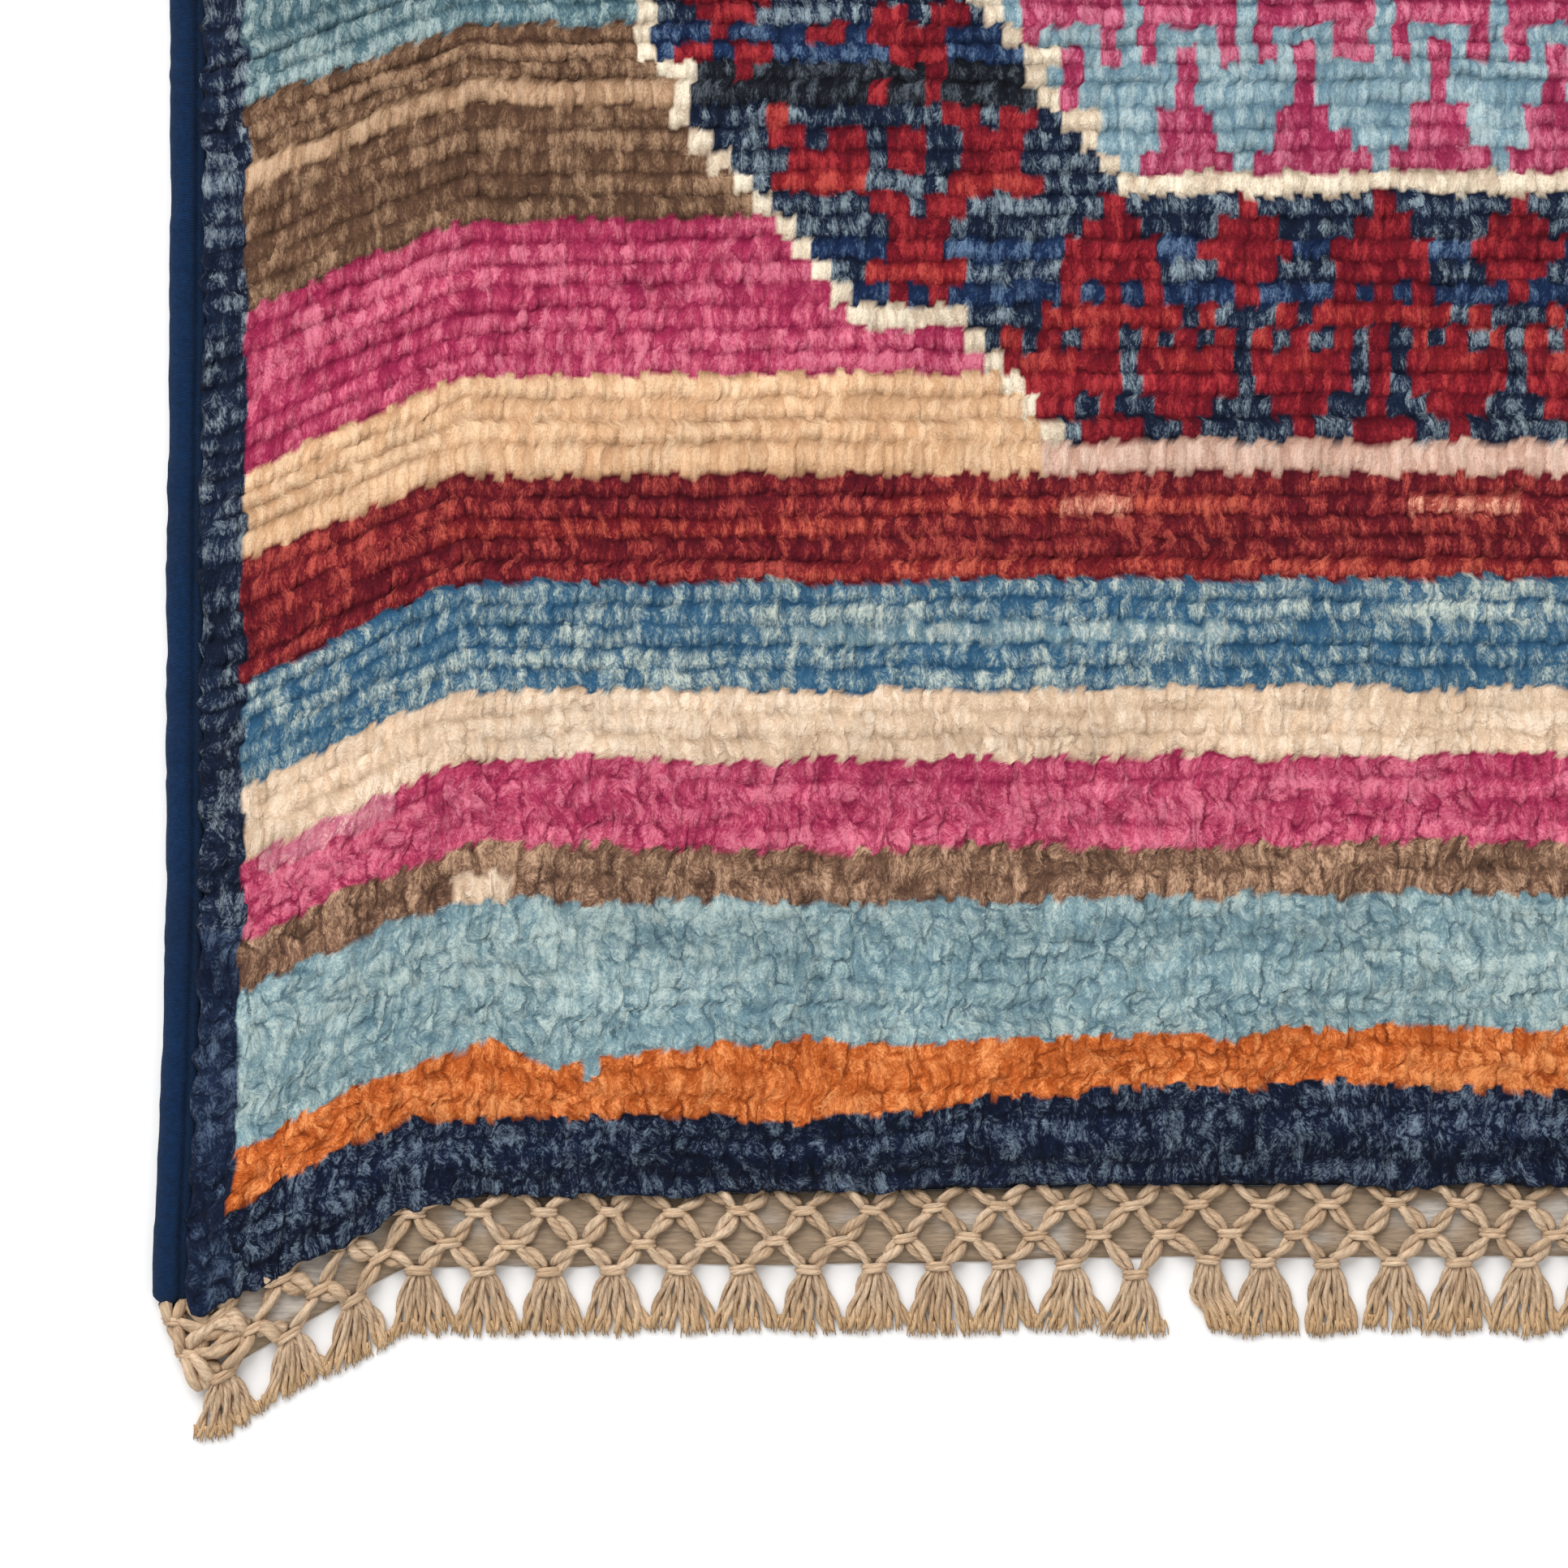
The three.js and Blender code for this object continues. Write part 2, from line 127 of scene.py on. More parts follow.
# Each yarn's main colour, the darker and the paler wool spun into it, and their shares
YARNS = {
    "navy": ((20, 31, 57), (9, 16, 33), (128, 144, 158), 0.35, 0.07),
    "band_navy": ((30, 45, 72), (14, 23, 42), (152, 168, 174), 0.32, 0.14),
    "blue_navy": ((30, 54, 92), (16, 30, 60), (112, 136, 162), 0.3, 0.1),
    "black": ((30, 34, 42), (14, 17, 24), (96, 104, 112), 0.35, 0.1),
    "border_navy": ((30, 44, 70), (13, 22, 40), (150, 162, 168), 0.35, 0.11),
    "border_dark": ((26, 40, 66), (13, 22, 42), (96, 112, 132), 0.35, 0.08),
    "orange": ((214, 114, 54), (160, 70, 23), (240, 160, 100), 0.25, 0.25),
    "sky": ((140, 165, 168), (92, 123, 137), (181, 195, 190), 0.22, 0.25),
    "brown": ((119, 88, 66), (82, 58, 45), (166, 135, 108), 0.32, 0.24),
    "light_brown": ((138, 102, 80), (86, 62, 50), (198, 162, 133), 0.3, 0.25),
    "rose": ((190, 72, 103), (147, 32, 72), (216, 124, 145), 0.28, 0.22),
    "pale_rose": ((208, 134, 149), (188, 94, 119), (226, 188, 174), 0.3, 0.35),
    "cream": ((227, 199, 171), (207, 176, 146), (232, 213, 191), 0.2, 0.25),
    "denim": ((98, 130, 142), (44, 87, 120), (195, 202, 190), 0.35, 0.31),
    "oxblood": ((134, 36, 42), (80, 15, 28), (192, 90, 76), 0.32, 0.13),
    "pale_denim": ((146, 168, 170), (92, 126, 144), (206, 208, 196), 0.3, 0.4),
    "brick": ((150, 44, 45), (100, 20, 30), (204, 102, 80), 0.3, 0.22),
    "salmon": ((184, 92, 78), (140, 46, 46), (232, 172, 144), 0.3, 0.3),
    "sand": ((223, 180, 141), (203, 157, 117), (232, 198, 162), 0.2, 0.25),
    "tan": ((178, 142, 112), (146, 112, 84), (200, 168, 138), 0.2, 0.25),
    "teal": ((100, 129, 135), (60, 90, 104), (164, 179, 177), 0.3, 0.24),
    "ivory": ((228, 210, 184), (196, 174, 150), (238, 226, 204), 0.2, 0.3),
    "blush": ((215, 179, 159), (194, 152, 133), (221, 192, 176), 0.25, 0.25),
    "red": ((136, 26, 39), (88, 14, 28), (172, 58, 60), 0.3, 0.16),
    "bright_red": ((152, 36, 42), (108, 20, 31), (186, 80, 70), 0.25, 0.2),
    "field_rose": ((177, 66, 99), (139, 33, 71), (206, 123, 147), 0.25, 0.22),
    "field_sky": ((139, 165, 173), (94, 127, 146), (174, 190, 192), 0.22, 0.22),
}
YARN_NUMBER = {yarn: number for number, yarn in enumerate(YARNS)}


def dye(colours):
    """sRGB colours from 0 to 255 as the linear colours that a finish needs."""
    tone = np.array(colours) / 255
    return np.where(tone <= 0.04045, tone / 12.92, ((tone + 0.055) / 1.055) ** 2.4)


yarn_parts = list(zip(*YARNS.values()))
MAIN_DYES, DARK_DYES, PALE_DYES = [dye(colours) for colours in yarn_parts[:3]]
DARK_SHARES, PALE_SHARES = [np.array(shares) for shares in yarn_parts[3:]]

# The stripes from the front end to the middle row: yarn, rows, and where the stripe ends
KNOTS = 163
STRIPES = [
    ("navy", 4, 15.75),
    ("orange", 3, 26.5),
    ("sky", 7, 53.5),
    ("light_brown", 2, 63.0),
    ("rose", 4, 79.2),
    ("cream", 3, 91.8),
    ("denim", 5, 112.0),
    ("oxblood", 5, 131.5),
    ("sand", 1, 137.6),
    ("sand", 3, 150.0),
    ("rose", 7, 178.8),
    ("brown", 5, 199.4),
    ("tan", 1, 204.3),
    ("brown", 3, 214.5),
    ("teal", 6, 238.8),
    ("cream", 4, 255.0),
    ("oxblood", 6, 279.3),
    ("sky", 6, 303.6),
    ("orange", 2, 311.7),
    ("denim", 6, 336.0),
    ("sand", 4, 352.2),
    ("rose", 6, 376.5),
    ("brown", 4, 392.7),
    ("teal", 6, 417.0),
]
HALF_ROWS = sum(count for _, count, _ in STRIPES)
ROWS = 2 * HALF_ROWS - 1
MIDDLE_KNOT = KNOTS // 2

row_ends = [0.0]
row_yarns = []
for yarn, count, stripe_end in STRIPES:
    stripe_start = row_ends[-1]
    for i in range(1, count + 1):
        row_ends.append(stripe_start + (stripe_end - stripe_start) * i / count)
        row_yarns.append(YARN_NUMBER[yarn])
front_lines = np.array(row_ends[:-1]) * MM
ROW_LINES = np.concatenate([front_lines, PILE_LENGTH - front_lines[::-1]])

# The chart of the design: one yarn for each knot of the front half and the middle row
chart = np.repeat(np.array(row_yarns)[:, None], KNOTS, axis=1)


def fill(row, first, last, yarn):
    """Ties knots of one yarn in a row, and the same on the right half."""
    chart[row, first : last + 1] = YARN_NUMBER[yarn]
    chart[row, KNOTS - 1 - last : KNOTS - first] = YARN_NUMBER[yarn]


# The medallion: a navy band between two stepped outlines, round a rose field. A list gives the
# outline's knot in each row, counted from the left, and its last knot holds on to the middle.
FOOT_ROW = 33
OUTER_LINE = [43, 42, 41, 40, 39, 33, 32, 31, 30, 29, 28, 27, 26, 25, 24, 24, 23, 22]
OUTER_RUNS = {39: 6, 50: 2}
FIELD_ROW = 45
FIELD_KNOT = 47
INNER_LINE = [46, 45, 44, 43, 42, 42, 41, 40, 39, 38, 37, 36]
WIDE_STEP_ROWS = 3

fill(FOOT_ROW, OUTER_LINE[0], MIDDLE_KNOT, "blush")
for row in range(FOOT_ROW + 1, HALF_ROWS):
    outer = OUTER_LINE[min(row - FOOT_ROW - 1, len(OUTER_LINE) - 1)]
    fill(row, outer, MIDDLE_KNOT, "band_navy")
    fill(row, outer, outer + OUTER_RUNS.get(row, 1) - 1, "ivory")
    if row == FIELD_ROW:
        fill(row, FIELD_KNOT, MIDDLE_KNOT, "ivory")
    if row > FIELD_ROW:
        inner = INNER_LINE[min(row - FIELD_ROW - 1, len(INNER_LINE) - 1)]
        fill(row, inner, MIDDLE_KNOT, "field_rose")
        fill(row, inner, inner + (row % WIDE_STEP_ROWS == 0), "ivory")

# Uneven dye lots in the navy band, by their rows
for yarn, lot_rows in {"blue_navy": (40, 42, 51, 52), "black": (49, 50, 58)}.items():
    for row in lot_rows:
        chart[row, chart[row] == YARN_NUMBER["band_navy"]] = YARN_NUMBER[yarn]

YARN_OF_MARK = {"r": "red", "b": "bright_red", "s": "field_sky"}
BAND_YARNS = [YARN_NUMBER[yarn] for yarn in ("band_navy", "blue_navy", "black")]
FIELD_YARNS = [YARN_NUMBER["field_rose"]]


def tie(figure, lowest_row, middle, grounds=BAND_YARNS):
    """Ties a small figure, written top row first, where the chart still has its ground."""
    for up, marks in enumerate(reversed(figure)):
        for i, mark in enumerate(marks):
            row = lowest_row + up
            knot = middle - len(marks) // 2 + i
            if mark != "." and row < HALF_ROWS and chart[row, knot] in grounds:
                chart[row, knot] = YARN_NUMBER[YARN_OF_MARK[mark]]


BIG_FLOWER = [
    "...r...",
    "..rrr..",
    ".rrrrr.",
    ".rrrrr.",
    ".r.r.r.",
    "bbbbbbb",
    "...r...",
    "...r...",
    "...r...",
    "...r...",
    "..rrr..",
]
SMALL_FLOWER = ["..r..", ".rrr.", "rrrrr", ".rrr.", "..r..", "b...b"]
CUP = ["b.r.b", "rbbbr", "rrrrr", ".rrr.", "..r.."]
HORNED = ["rr.rr", ".rrr.", ".rrr.", "bbbbb", ".r.r."]
BENT = ["b....", "rr.rr", ".rrrr", "bbbbb"]
HOOKED = ["rr.rr", "rrrr.", ".rrr.", "...r.", "r..r."]
SPREADING = ["rrrrr", ".rrr.", "..r..", "rr.rr", "r..r."]
PAIR = ["rr", "rr"]
TULIP = ["..s.."] * 3 + ["s.s.s"] * 2 + ["sssss", "sssss", ".sss.", ".sss.", "..s.."]
WIDE_TULIP = ["...s.."] * 3 + ["s..s.s"] * 2 + ["ssssss", "ssssss", ".ssss.", "..sss.", "...s.."]

# The row of flowers in the foot of the band
FLOWER_PITCH = 7
for flower in range(-5, 6):
    middle = MIDDLE_KNOT + FLOWER_PITCH * flower
    if flower % 2:
        tie(BIG_FLOWER, 34, middle)
    else:
        tie(SMALL_FLOWER, 39, middle)
        tie(CUP, 34, middle - 3)
        tie(CUP, 34, middle + 3)

# The figures up both flanks of the band: lowest row, and knots from the middle
band_figures = [
    (CUP, 34, 38),
    (HORNED, 40, 45),
    (HORNED[:4], 45, 41),
    (BENT, 45, 50),
    (PAIR, 46, 45),
    (PAIR[:1], 52, 49),
    (HOOKED, 49, 45),
    (SPREADING, 50, 55),
]
for row in range(58, HALF_ROWS, 9):
    band_figures += [(HORNED, row, 55), (HORNED, row, 49), (PAIR, row + 6, 52)]
for side in (-1, 1):
    for figure, lowest_row, aside in band_figures:
        tie(figure, lowest_row, MIDDLE_KNOT + aside * side)

# The rows of tulips in the field, with one knot between two stems
TULIP_STEMS = (41, 47, 53, 60, 66, 73, 79, 86, 92, 99, 105, 112, 118, 122)
for lowest_row in range(46, HALF_ROWS, 10):
    for i, stem in enumerate(TULIP_STEMS):
        tie(WIDE_TULIP if i % 2 and i > 2 else TULIP, lowest_row, stem, FIELD_YARNS)
        tie(["s"], lowest_row + 6, stem + 3, FIELD_YARNS)

# Spots where another yarn ran in, as streaks of paler wool in the denim and the red, a cream
# patch, a dip of sky in the orange and a pale start: row, first and last knot, and yarn
SPOTS = [
    (25, 30, 52, "pale_denim"),
    (28, 31, MIDDLE_KNOT, "brick"),
    (30, 12, 34, "brick"),
    (31, 35, 53, "brick"),
    (31, 44, 47, "salmon"),
    (31, 62, 67, "salmon"),
    (14, 13, 15, "cream"),
    (6, 20, 20, "sky"),
    (19, 3, 9, "pale_rose"),
]
for spot in SPOTS:
    fill(*spot)
DARK_BORDER_ROWS = 17
for row in range(HALF_ROWS):
    fill(row, 0, 1, "border_dark" if row < DARK_BORDER_ROWS else "border_navy")

chart = np.concatenate([chart, chart[-2::-1]])


def grid_faces(rows, columns):
    """The faces of a grid of points, and the points round its edge."""
    index = np.arange(rows * columns).reshape(rows, columns)
    quads = [index[:-1, :-1], index[:-1, 1:], index[1:, 1:], index[1:, :-1]]
    ring = np.concatenate([index[0, :-1], index[:-1, -1], index[-1, :0:-1], index[:0:-1, 0]])
    return np.stack(quads, axis=-1).reshape(-1, 4), ring


def rim_faces(ring, foot):
    """The faces between the points round an edge and the points below them."""
    return np.stack([ring, foot, np.roll(foot, -1), np.roll(ring, -1)], axis=-1)


def turned_over(faces):
    """The same faces, which look the other way."""
    return [part[:, ::-1] for part in faces]


def slab_faces(rows, columns):
    """Top, underside and rim of two point grids, the top one first in the list of points."""
    top, ring = grid_faces(rows, columns)
    below = rows * columns
    return [top, top[:, ::-1] + below, rim_faces(ring, ring + below)]


def make_piece(name, points, faces, finish, node, shades, threads=None, bake=None):
    """A mesh piece from arrays. shades colours its points or face corners, one list for each
    colour layer, threads says how its fibres run, and bake is the flat layout of its points."""
    corners = np.concatenate([part.ravel() for part in faces]).astype(np.int32)
    sizes = np.concatenate([np.full(len(part), part.shape[1]) for part in faces])
    mesh = bpy.data.meshes.new(name)
    mesh.vertices.add(len(points))
    mesh.vertices.foreach_set("co", np.asarray(points, np.float32).ravel())
    mesh.loops.add(len(corners))
    mesh.loops.foreach_set("vertex_index", corners)
    mesh.polygons.add(len(sizes))
    mesh.polygons.foreach_set("loop_start", (np.cumsum(sizes) - sizes).astype(np.int32))
    mesh.update(calc_edges=True)
    mesh.shade_smooth()
    for layer_name, layer_shades in shades.items():
        domain = "POINT" if len(layer_shades) == len(points) else "CORNER"
        layer = mesh.color_attributes.new(layer_name, "FLOAT_COLOR", domain)
        if layer_shades.shape[1] == 3:
            layer_shades = np.concatenate([layer_shades, np.ones((len(layer_shades), 1))], axis=1)
        layer.data.foreach_set("color", layer_shades.astype(np.float32).ravel())
    if threads is not None:
        layer = mesh.attributes.new("threads", "FLOAT_VECTOR", "POINT")
        layer.data.foreach_set("vector", np.asarray(threads, np.float32).ravel())
    if bake is not None:
        layer = mesh.uv_layers.new(name="OFBake")
        layer.data.foreach_set("uv", bake[corners].astype(np.float32).ravel())
    mesh.materials.append(finish.material)
    piece = bpy.data.objects.new(name, mesh)
    bpy.context.scene.collection.objects.link(piece)
    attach(piece, "root")
    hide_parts(node)
    return piece


class Finish:
    """A new material with its shader and a few short ways to add nodes to it."""

    def __init__(self, name, roughness=0.95, gloss=0.06, sheen=0.0):
        self.material = bpy.data.materials.new(name)
        self.material.use_nodes = True
        self.tree = self.material.node_tree
        self.shader = self.tree.nodes["Principled BSDF"]
        self.shader.inputs["Roughness"].default_value = roughness
        self.shader.inputs["Specular IOR Level"].default_value = gloss
        self.shader.inputs["Sheen Weight"].default_value = sheen
        self.shader.inputs["Sheen Roughness"].default_value = 0.6

    def node(self, kind, values, **settings):
        made = self.tree.nodes.new("ShaderNode" + kind)
        for key, value in settings.items():
            setattr(made, key, value)
        for key, value in values.items():
            if hasattr(value, "is_output"):
                self.tree.links.new(value, made.inputs[key])
            else:
                made.inputs[key].default_value = value
        return made

    def attribute(self, name, output):
        return self.node("Attribute", {}, attribute_name=name).outputs[output]

    def where(self):
        return self.node("TexCoord", {}).outputs["Object"]

    def stretch(self, vector, scale, shift=(0, 0, 0)):
        values = {"Vector": vector, "Location": shift, "Scale": scale}
        return self.node("Mapping", values).outputs["Vector"]

    def noise(self, vector, size, detail=2.0, output="Fac"):
        values = {"Vector": vector, "Scale": size, "Detail": detail, "Roughness": 0.6}
        return self.node("TexNoise", values).outputs[output]

    def cells(self, vector, randomness, **settings):
        values = {"Vector": vector, "Scale": 1.0, "Randomness": randomness}
        return self.node("TexVoronoi", values, voronoi_dimensions="2D", **settings).outputs

    def split(self, vector):
        return self.node("SeparateXYZ", {0: vector}).outputs

    def between(self, value, low, high, least, most):
        """Takes low to least and high to most, and no further."""
        values = {"Value": value, "From Min": low, "From Max": high}
        values.update({"To Min": least, "To Max": most})
        return self.node("MapRange", values).outputs["Result"]

    def toned(self, noise, least, most):
        """Takes the usual range of a noise to least and most."""
        return self.between(noise, 0.3, 0.7, least, most)

    def maths(self, operation, first, second):
        return self.node("Math", {0: first, 1: second}, operation=operation).outputs[0]

    def times(self, first, second):
        return self.maths("MULTIPLY", first, second)

    def plus(self, first, second):
        return self.maths("ADD", first, second)

    def less(self, first, second):
        return self.maths("SUBTRACT", first, second)

    def vectors(self, operation, first, second):
        return self.node("VectorMath", {0: first, 1: second}, operation=operation).outputs[0]

    def scaled(self, colour, factor):
        values = {0: colour, "Scale": factor}
        return self.node("VectorMath", values, operation="SCALE").outputs[0]

    def mixed(self, share, first, second):
        """The first colour where share is 0 and the second where it is 1."""
        values = {"Factor": share, 6: first, 7: second}
        return self.node("Mix", values, data_type="RGBA").outputs[2]

    def paint(self, colour, tone):
        self.tree.links.new(self.scaled(colour, tone), self.shader.inputs["Base Color"])

    def relief(self, height, depth):
        bump = self.node("Bump", {"Height": height, "Distance": depth, "Strength": 1.0})
        self.tree.links.new(bump.outputs["Normal"], self.shader.inputs["Normal"])


# The back: a slab whose spots take the colours of the knots above them, two by two
SPOT_KNOTS = 2
spot_columns = np.append(np.arange(0, KNOTS, SPOT_KNOTS), KNOTS)
spot_rows = np.append(np.arange(0, ROWS, SPOT_KNOTS), ROWS)
spot_across, spot_along = np.meshgrid(
    PILE_HALF * (2 * spot_columns / KNOTS - 1), ROW_LINES[spot_rows]
)
weave_top = lay(spot_across, spot_along, WEAVE_THICKNESS).reshape(-1, 3)
weave_back = lay(spot_across, spot_along, 0).reshape(-1, 3)
weave_faces = slab_faces(len(spot_rows), len(spot_columns))
spot_dyes = MAIN_DYES[chart[np.ix_(spot_rows[:-1], spot_columns[:-1])]].reshape(-1, 3)
rim_dyes = np.tile(MAIN_DYES[YARN_NUMBER["navy"]], (len(weave_faces[2]), 1))

back = Finish("knotted_back")
back_grain = back.noise(back.stretch(back.where(), (500, 900, 500)), 1.0)
back.paint(back.attribute("yarn", "Color"), back.toned(back_grain, 0.65, 1.0))
back.relief(back_grain, 0.4 * MM)
ground_weave = make_piece(
    "ground_weave",
    np.concatenate([weave_top, weave_back]),
    weave_faces,
    back,
    "pile",
    {"yarn": np.repeat(np.concatenate([spot_dyes, spot_dyes, rim_dyes]), 4, axis=0)},
)


# The pile: each knot is a loop of hand-spun wool round two warps, cut into two tufts that lean
# towards the front end. The tufts crowd and part, so that the colours meet in ragged lines. The
# corner seen up close has finer tufts than the rest.

PILE_THICKNESS = 8 * MM
PILE_EDGE_ROUNDING = 7 * MM
PILE_EDGE_DROP = 2.6 * MM
ROW_GAP = 0.54 * MM
KNOT_GAP = 0.44 * MM
TUFT_GAP = 0.38 * MM
TUFT_RISE = 0.45 * MM
FRONT_LEAN = 0.35 * MM
SIDE_LEAN = 0.35 * MM
ROW_SHIFT = 0.4 * MM
ROW_SLIDE = 0.7 * MM
EDGE_SPREAD = 2.2 * MM
EDGE_SPREAD_FROM = 2.5 * MM
EDGE_HOLD = 5 * MM
PILE_FOOT = 1.5 * MM
TUFTS = 2 * KNOTS
TUFT_LINES = PILE_HALF * (2 * np.arange(TUFTS + 1) / TUFTS - 1)

# The pile gets fluffy over this stretch towards the ends of the rug
FLUFFY_FROM = 120 * MM
FLUFFY_FADE = 60 * MM
FLUFFY_ROW_GAPS = 0.25

# A tuft's crown along the rug, from the gap before it to the gap behind, its power across, and
# the height in the crown that doesn't lean forward
CROWN_PLACES = [0, 0.2, 0.5, 0.8, 1]
CROWN_HEIGHTS = [0, 0.88, 1, 0.74, 0]
CROWN_POWER = 2.2
CROWN_PIVOT = 0.65

# A point past these shares of its tuft belongs to the gap behind or beside it
GAP_AFTER_TUFT = 0.5
GAP_AFTER_ROW = 0.6

# A tuft leans over the line of its row or over its side where its chance from -1 to 1 is above
ROW_SPILL = -0.1
SIDE_SPILL = 0

# How far single tufts and rows differ in shade, and rows in their share of paler wool
TINT = 0.05
ROW_PATCH_TINT = 0.35
LEAST_PATCHY = 0.1
MOST_PATCHY = 2.3
PATCH_ROW = 4 * MM
BORDER = 8 * MM
BORDER_FADE = 3 * MM
EDGE_PALE = 0.25

# The gaps get painted shade: darker, with more of the darker wool and less of the paler one
GAP_PAINTED_SHADE = 0.8
GAP_PAINTED_DARK_SHARE = 0.4
GAP_PAINTED_PALE_LOSS = 0.25
SIDE_GAP_SHADE_SHARE = 0.15
# The rim round each patch is painted half as bright, as painted shade on its sides
RIM_PAINTED_SHADE = 0.5

# Long, low waves of the whole pile: across, along, height and phase
LONG_WAVES = [(410, 260, 0.22, 0.4), (190, -330, 0.16, 2.1), (-260, 120, 0.1, 4.4)]

# Soft random swells: amount, what is added to it where the pile is fluffy, width, length and
# seed. They move the tufts, in millimetres, and vary the row gaps, shades and shares of wool.
SWAY_ACROSS = [(0.3, 0.3, 2.4, 4.2, 21), (0.3, 0.5, 8, 9, 22)]
SWAY_ALONG = [(0.3, 0.25, 1.9, 4.5, 23), (0.45, 0.35, 7, 8, 24), (0.6, 0, 60, 34, 25)]
SWAY_UP = [(0.3, 0.4, 3.0, 4.4, 26), (0.15, 0, 1.1, 1.7, 27)]
GAP_SWELLS = [(0.8, 0, 14, 3.2, 28)]
PATCH_SWELLS = [(0.5, 0, 45, 14, 32)]
SHADE_SWELLS = [(0.07, 0, 26, 7, 33)]
ROW_PATCH_SWELLS = [(0.7, 0, 17, 4, 34)]
FLUFFY_SHADE_SWELLS = [(0, 0.1, 13, 9, 35)]
SPREAD_SWELLS = [(1, 0, 30, 2.2, 36)]
BORDER_PATCH_SWELLS = [(1.3, 0, 40, 6.5, 37)]


def cloudy(x, y, width, length, seed):
    """A soft random swell from -1 to 1, with patches about width by length large."""
    table = np.random.default_rng(seed).uniform(-1, 1, (256, 256))
    u, v = x / width + 1000, y / length + 1000
    i, j = np.floor(u).astype(int), np.floor(v).astype(int)
    s, t = ease(u - i), ease(v - j)
    i, j, right, up = i % 256, j % 256, (i + 1) % 256, (j + 1) % 256
    lower = table[i, j] * (1 - s) + table[right, j] * s
    upper = table[i, up] * (1 - s) + table[right, up] * s
    return lower * (1 - t) + upper * t


def pile_height(across, along):
    from_side = PILE_HALF - np.abs(across)
    from_end = np.minimum(along, PILE_LENGTH - along)
    inward = np.minimum(from_side, from_end) / PILE_EDGE_ROUNDING
    height = PILE_THICKNESS - PILE_EDGE_DROP * (1 - ease(inward))
    for wave_across, wave_along, wave, phase in LONG_WAVES:
        turn = (across / wave_across + along / wave_along) / MM
        height = height + wave * MM * np.sin(math.tau * turn + phase)
    return height


tuft_luck = np.random.default_rng(5)
tuft_rise = np.clip(tuft_luck.normal(0, 1, (ROWS, TUFTS)), -2, 2)
tuft_lean = tuft_luck.uniform(-1, 1, (ROWS, TUFTS))
tuft_tint = np.clip(tuft_luck.normal(0, 1, (ROWS, TUFTS)), -2, 2)
side_gap = tuft_luck.uniform(0.1, 1.15, (ROWS, TUFTS))
row_gap = tuft_luck.uniform(0.6, 1.25, (ROWS, TUFTS))
row_tint = tuft_luck.uniform(-1, 1, ROWS)
spill = tuft_luck.uniform(-1, 1, (ROWS, 3 * TUFTS))
tuft_shift = tuft_luck.uniform(-1, 1, (ROWS, TUFTS))
row_slide = tuft_luck.uniform(-1, 1, ROWS)

# The weaver beat the first rows down unevenly: how far the rows rise at the first four of these
# places along the rug, for places across it. At the fifth they are even again.
UNEVEN_ACROSS = np.array([-293, -265, -250, -244, -238, -232, -226, -217, -203, -181, -158, -136,
                          -106, -76, -49, 30]) * MM
UNEVEN_PLACES = np.array([0, 15.75, 26.5, 50, 66]) * MM
UNEVEN_RISES = np.array([
    [-1, -3.4, -2.2, -0.8, -0.3, 0, 0, 0, 0, 0, 0, 0, 0, 0, 0, 0],
    [0, -0.5, -1.5, -1.4, -1.1, -0.8, -0.8, -1.3, -1.8, -2.8, -0.6, 1.1, 2.8, 3.4, 1.7, 0],
    [0, -0.8, -2.0, 0.2, 2.0, -1.4, -2.8, -1.6, -0.6, 1.4, -0.3, 0.6, 0.8, 3.4, 2.5, 0],
    [0, 0, -0.4, -0.6, -0.8, -1.0, -1.0, -1.0, -1.0, -1.0, -0.9, -0.6, 0, 0, 0, 0],
]) * MM


def uneven(across, along):
    """How far the rows near the front end stand above their even places."""
    rise = 0 * across
    for i, rises in enumerate(UNEVEN_RISES):
        own_share = np.interp(along, UNEVEN_PLACES, np.arange(len(UNEVEN_PLACES)) == i)
        rise = rise + own_share * np.interp(across, UNEVEN_ACROSS, rises)
    return rise


def divided(first, last, steps, lines):
    """Points along one side of a patch: their tuft or row, how far into it, and their place."""
    own, step = np.divmod(np.arange(first * len(steps), last * len(steps) + 1), len(steps))
    part = np.array(steps)[step]
    following = np.minimum(own + 1, len(lines) - 1)
    return own, part, lines[own] + part * (lines[following] - lines[own])


def flat_layout(places):
    """Lays points out as seen from above, in a square from 0 to 1."""
    low = places.min(axis=0)
    return 0.01 + 0.98 * (places - low) / (places - low).max()


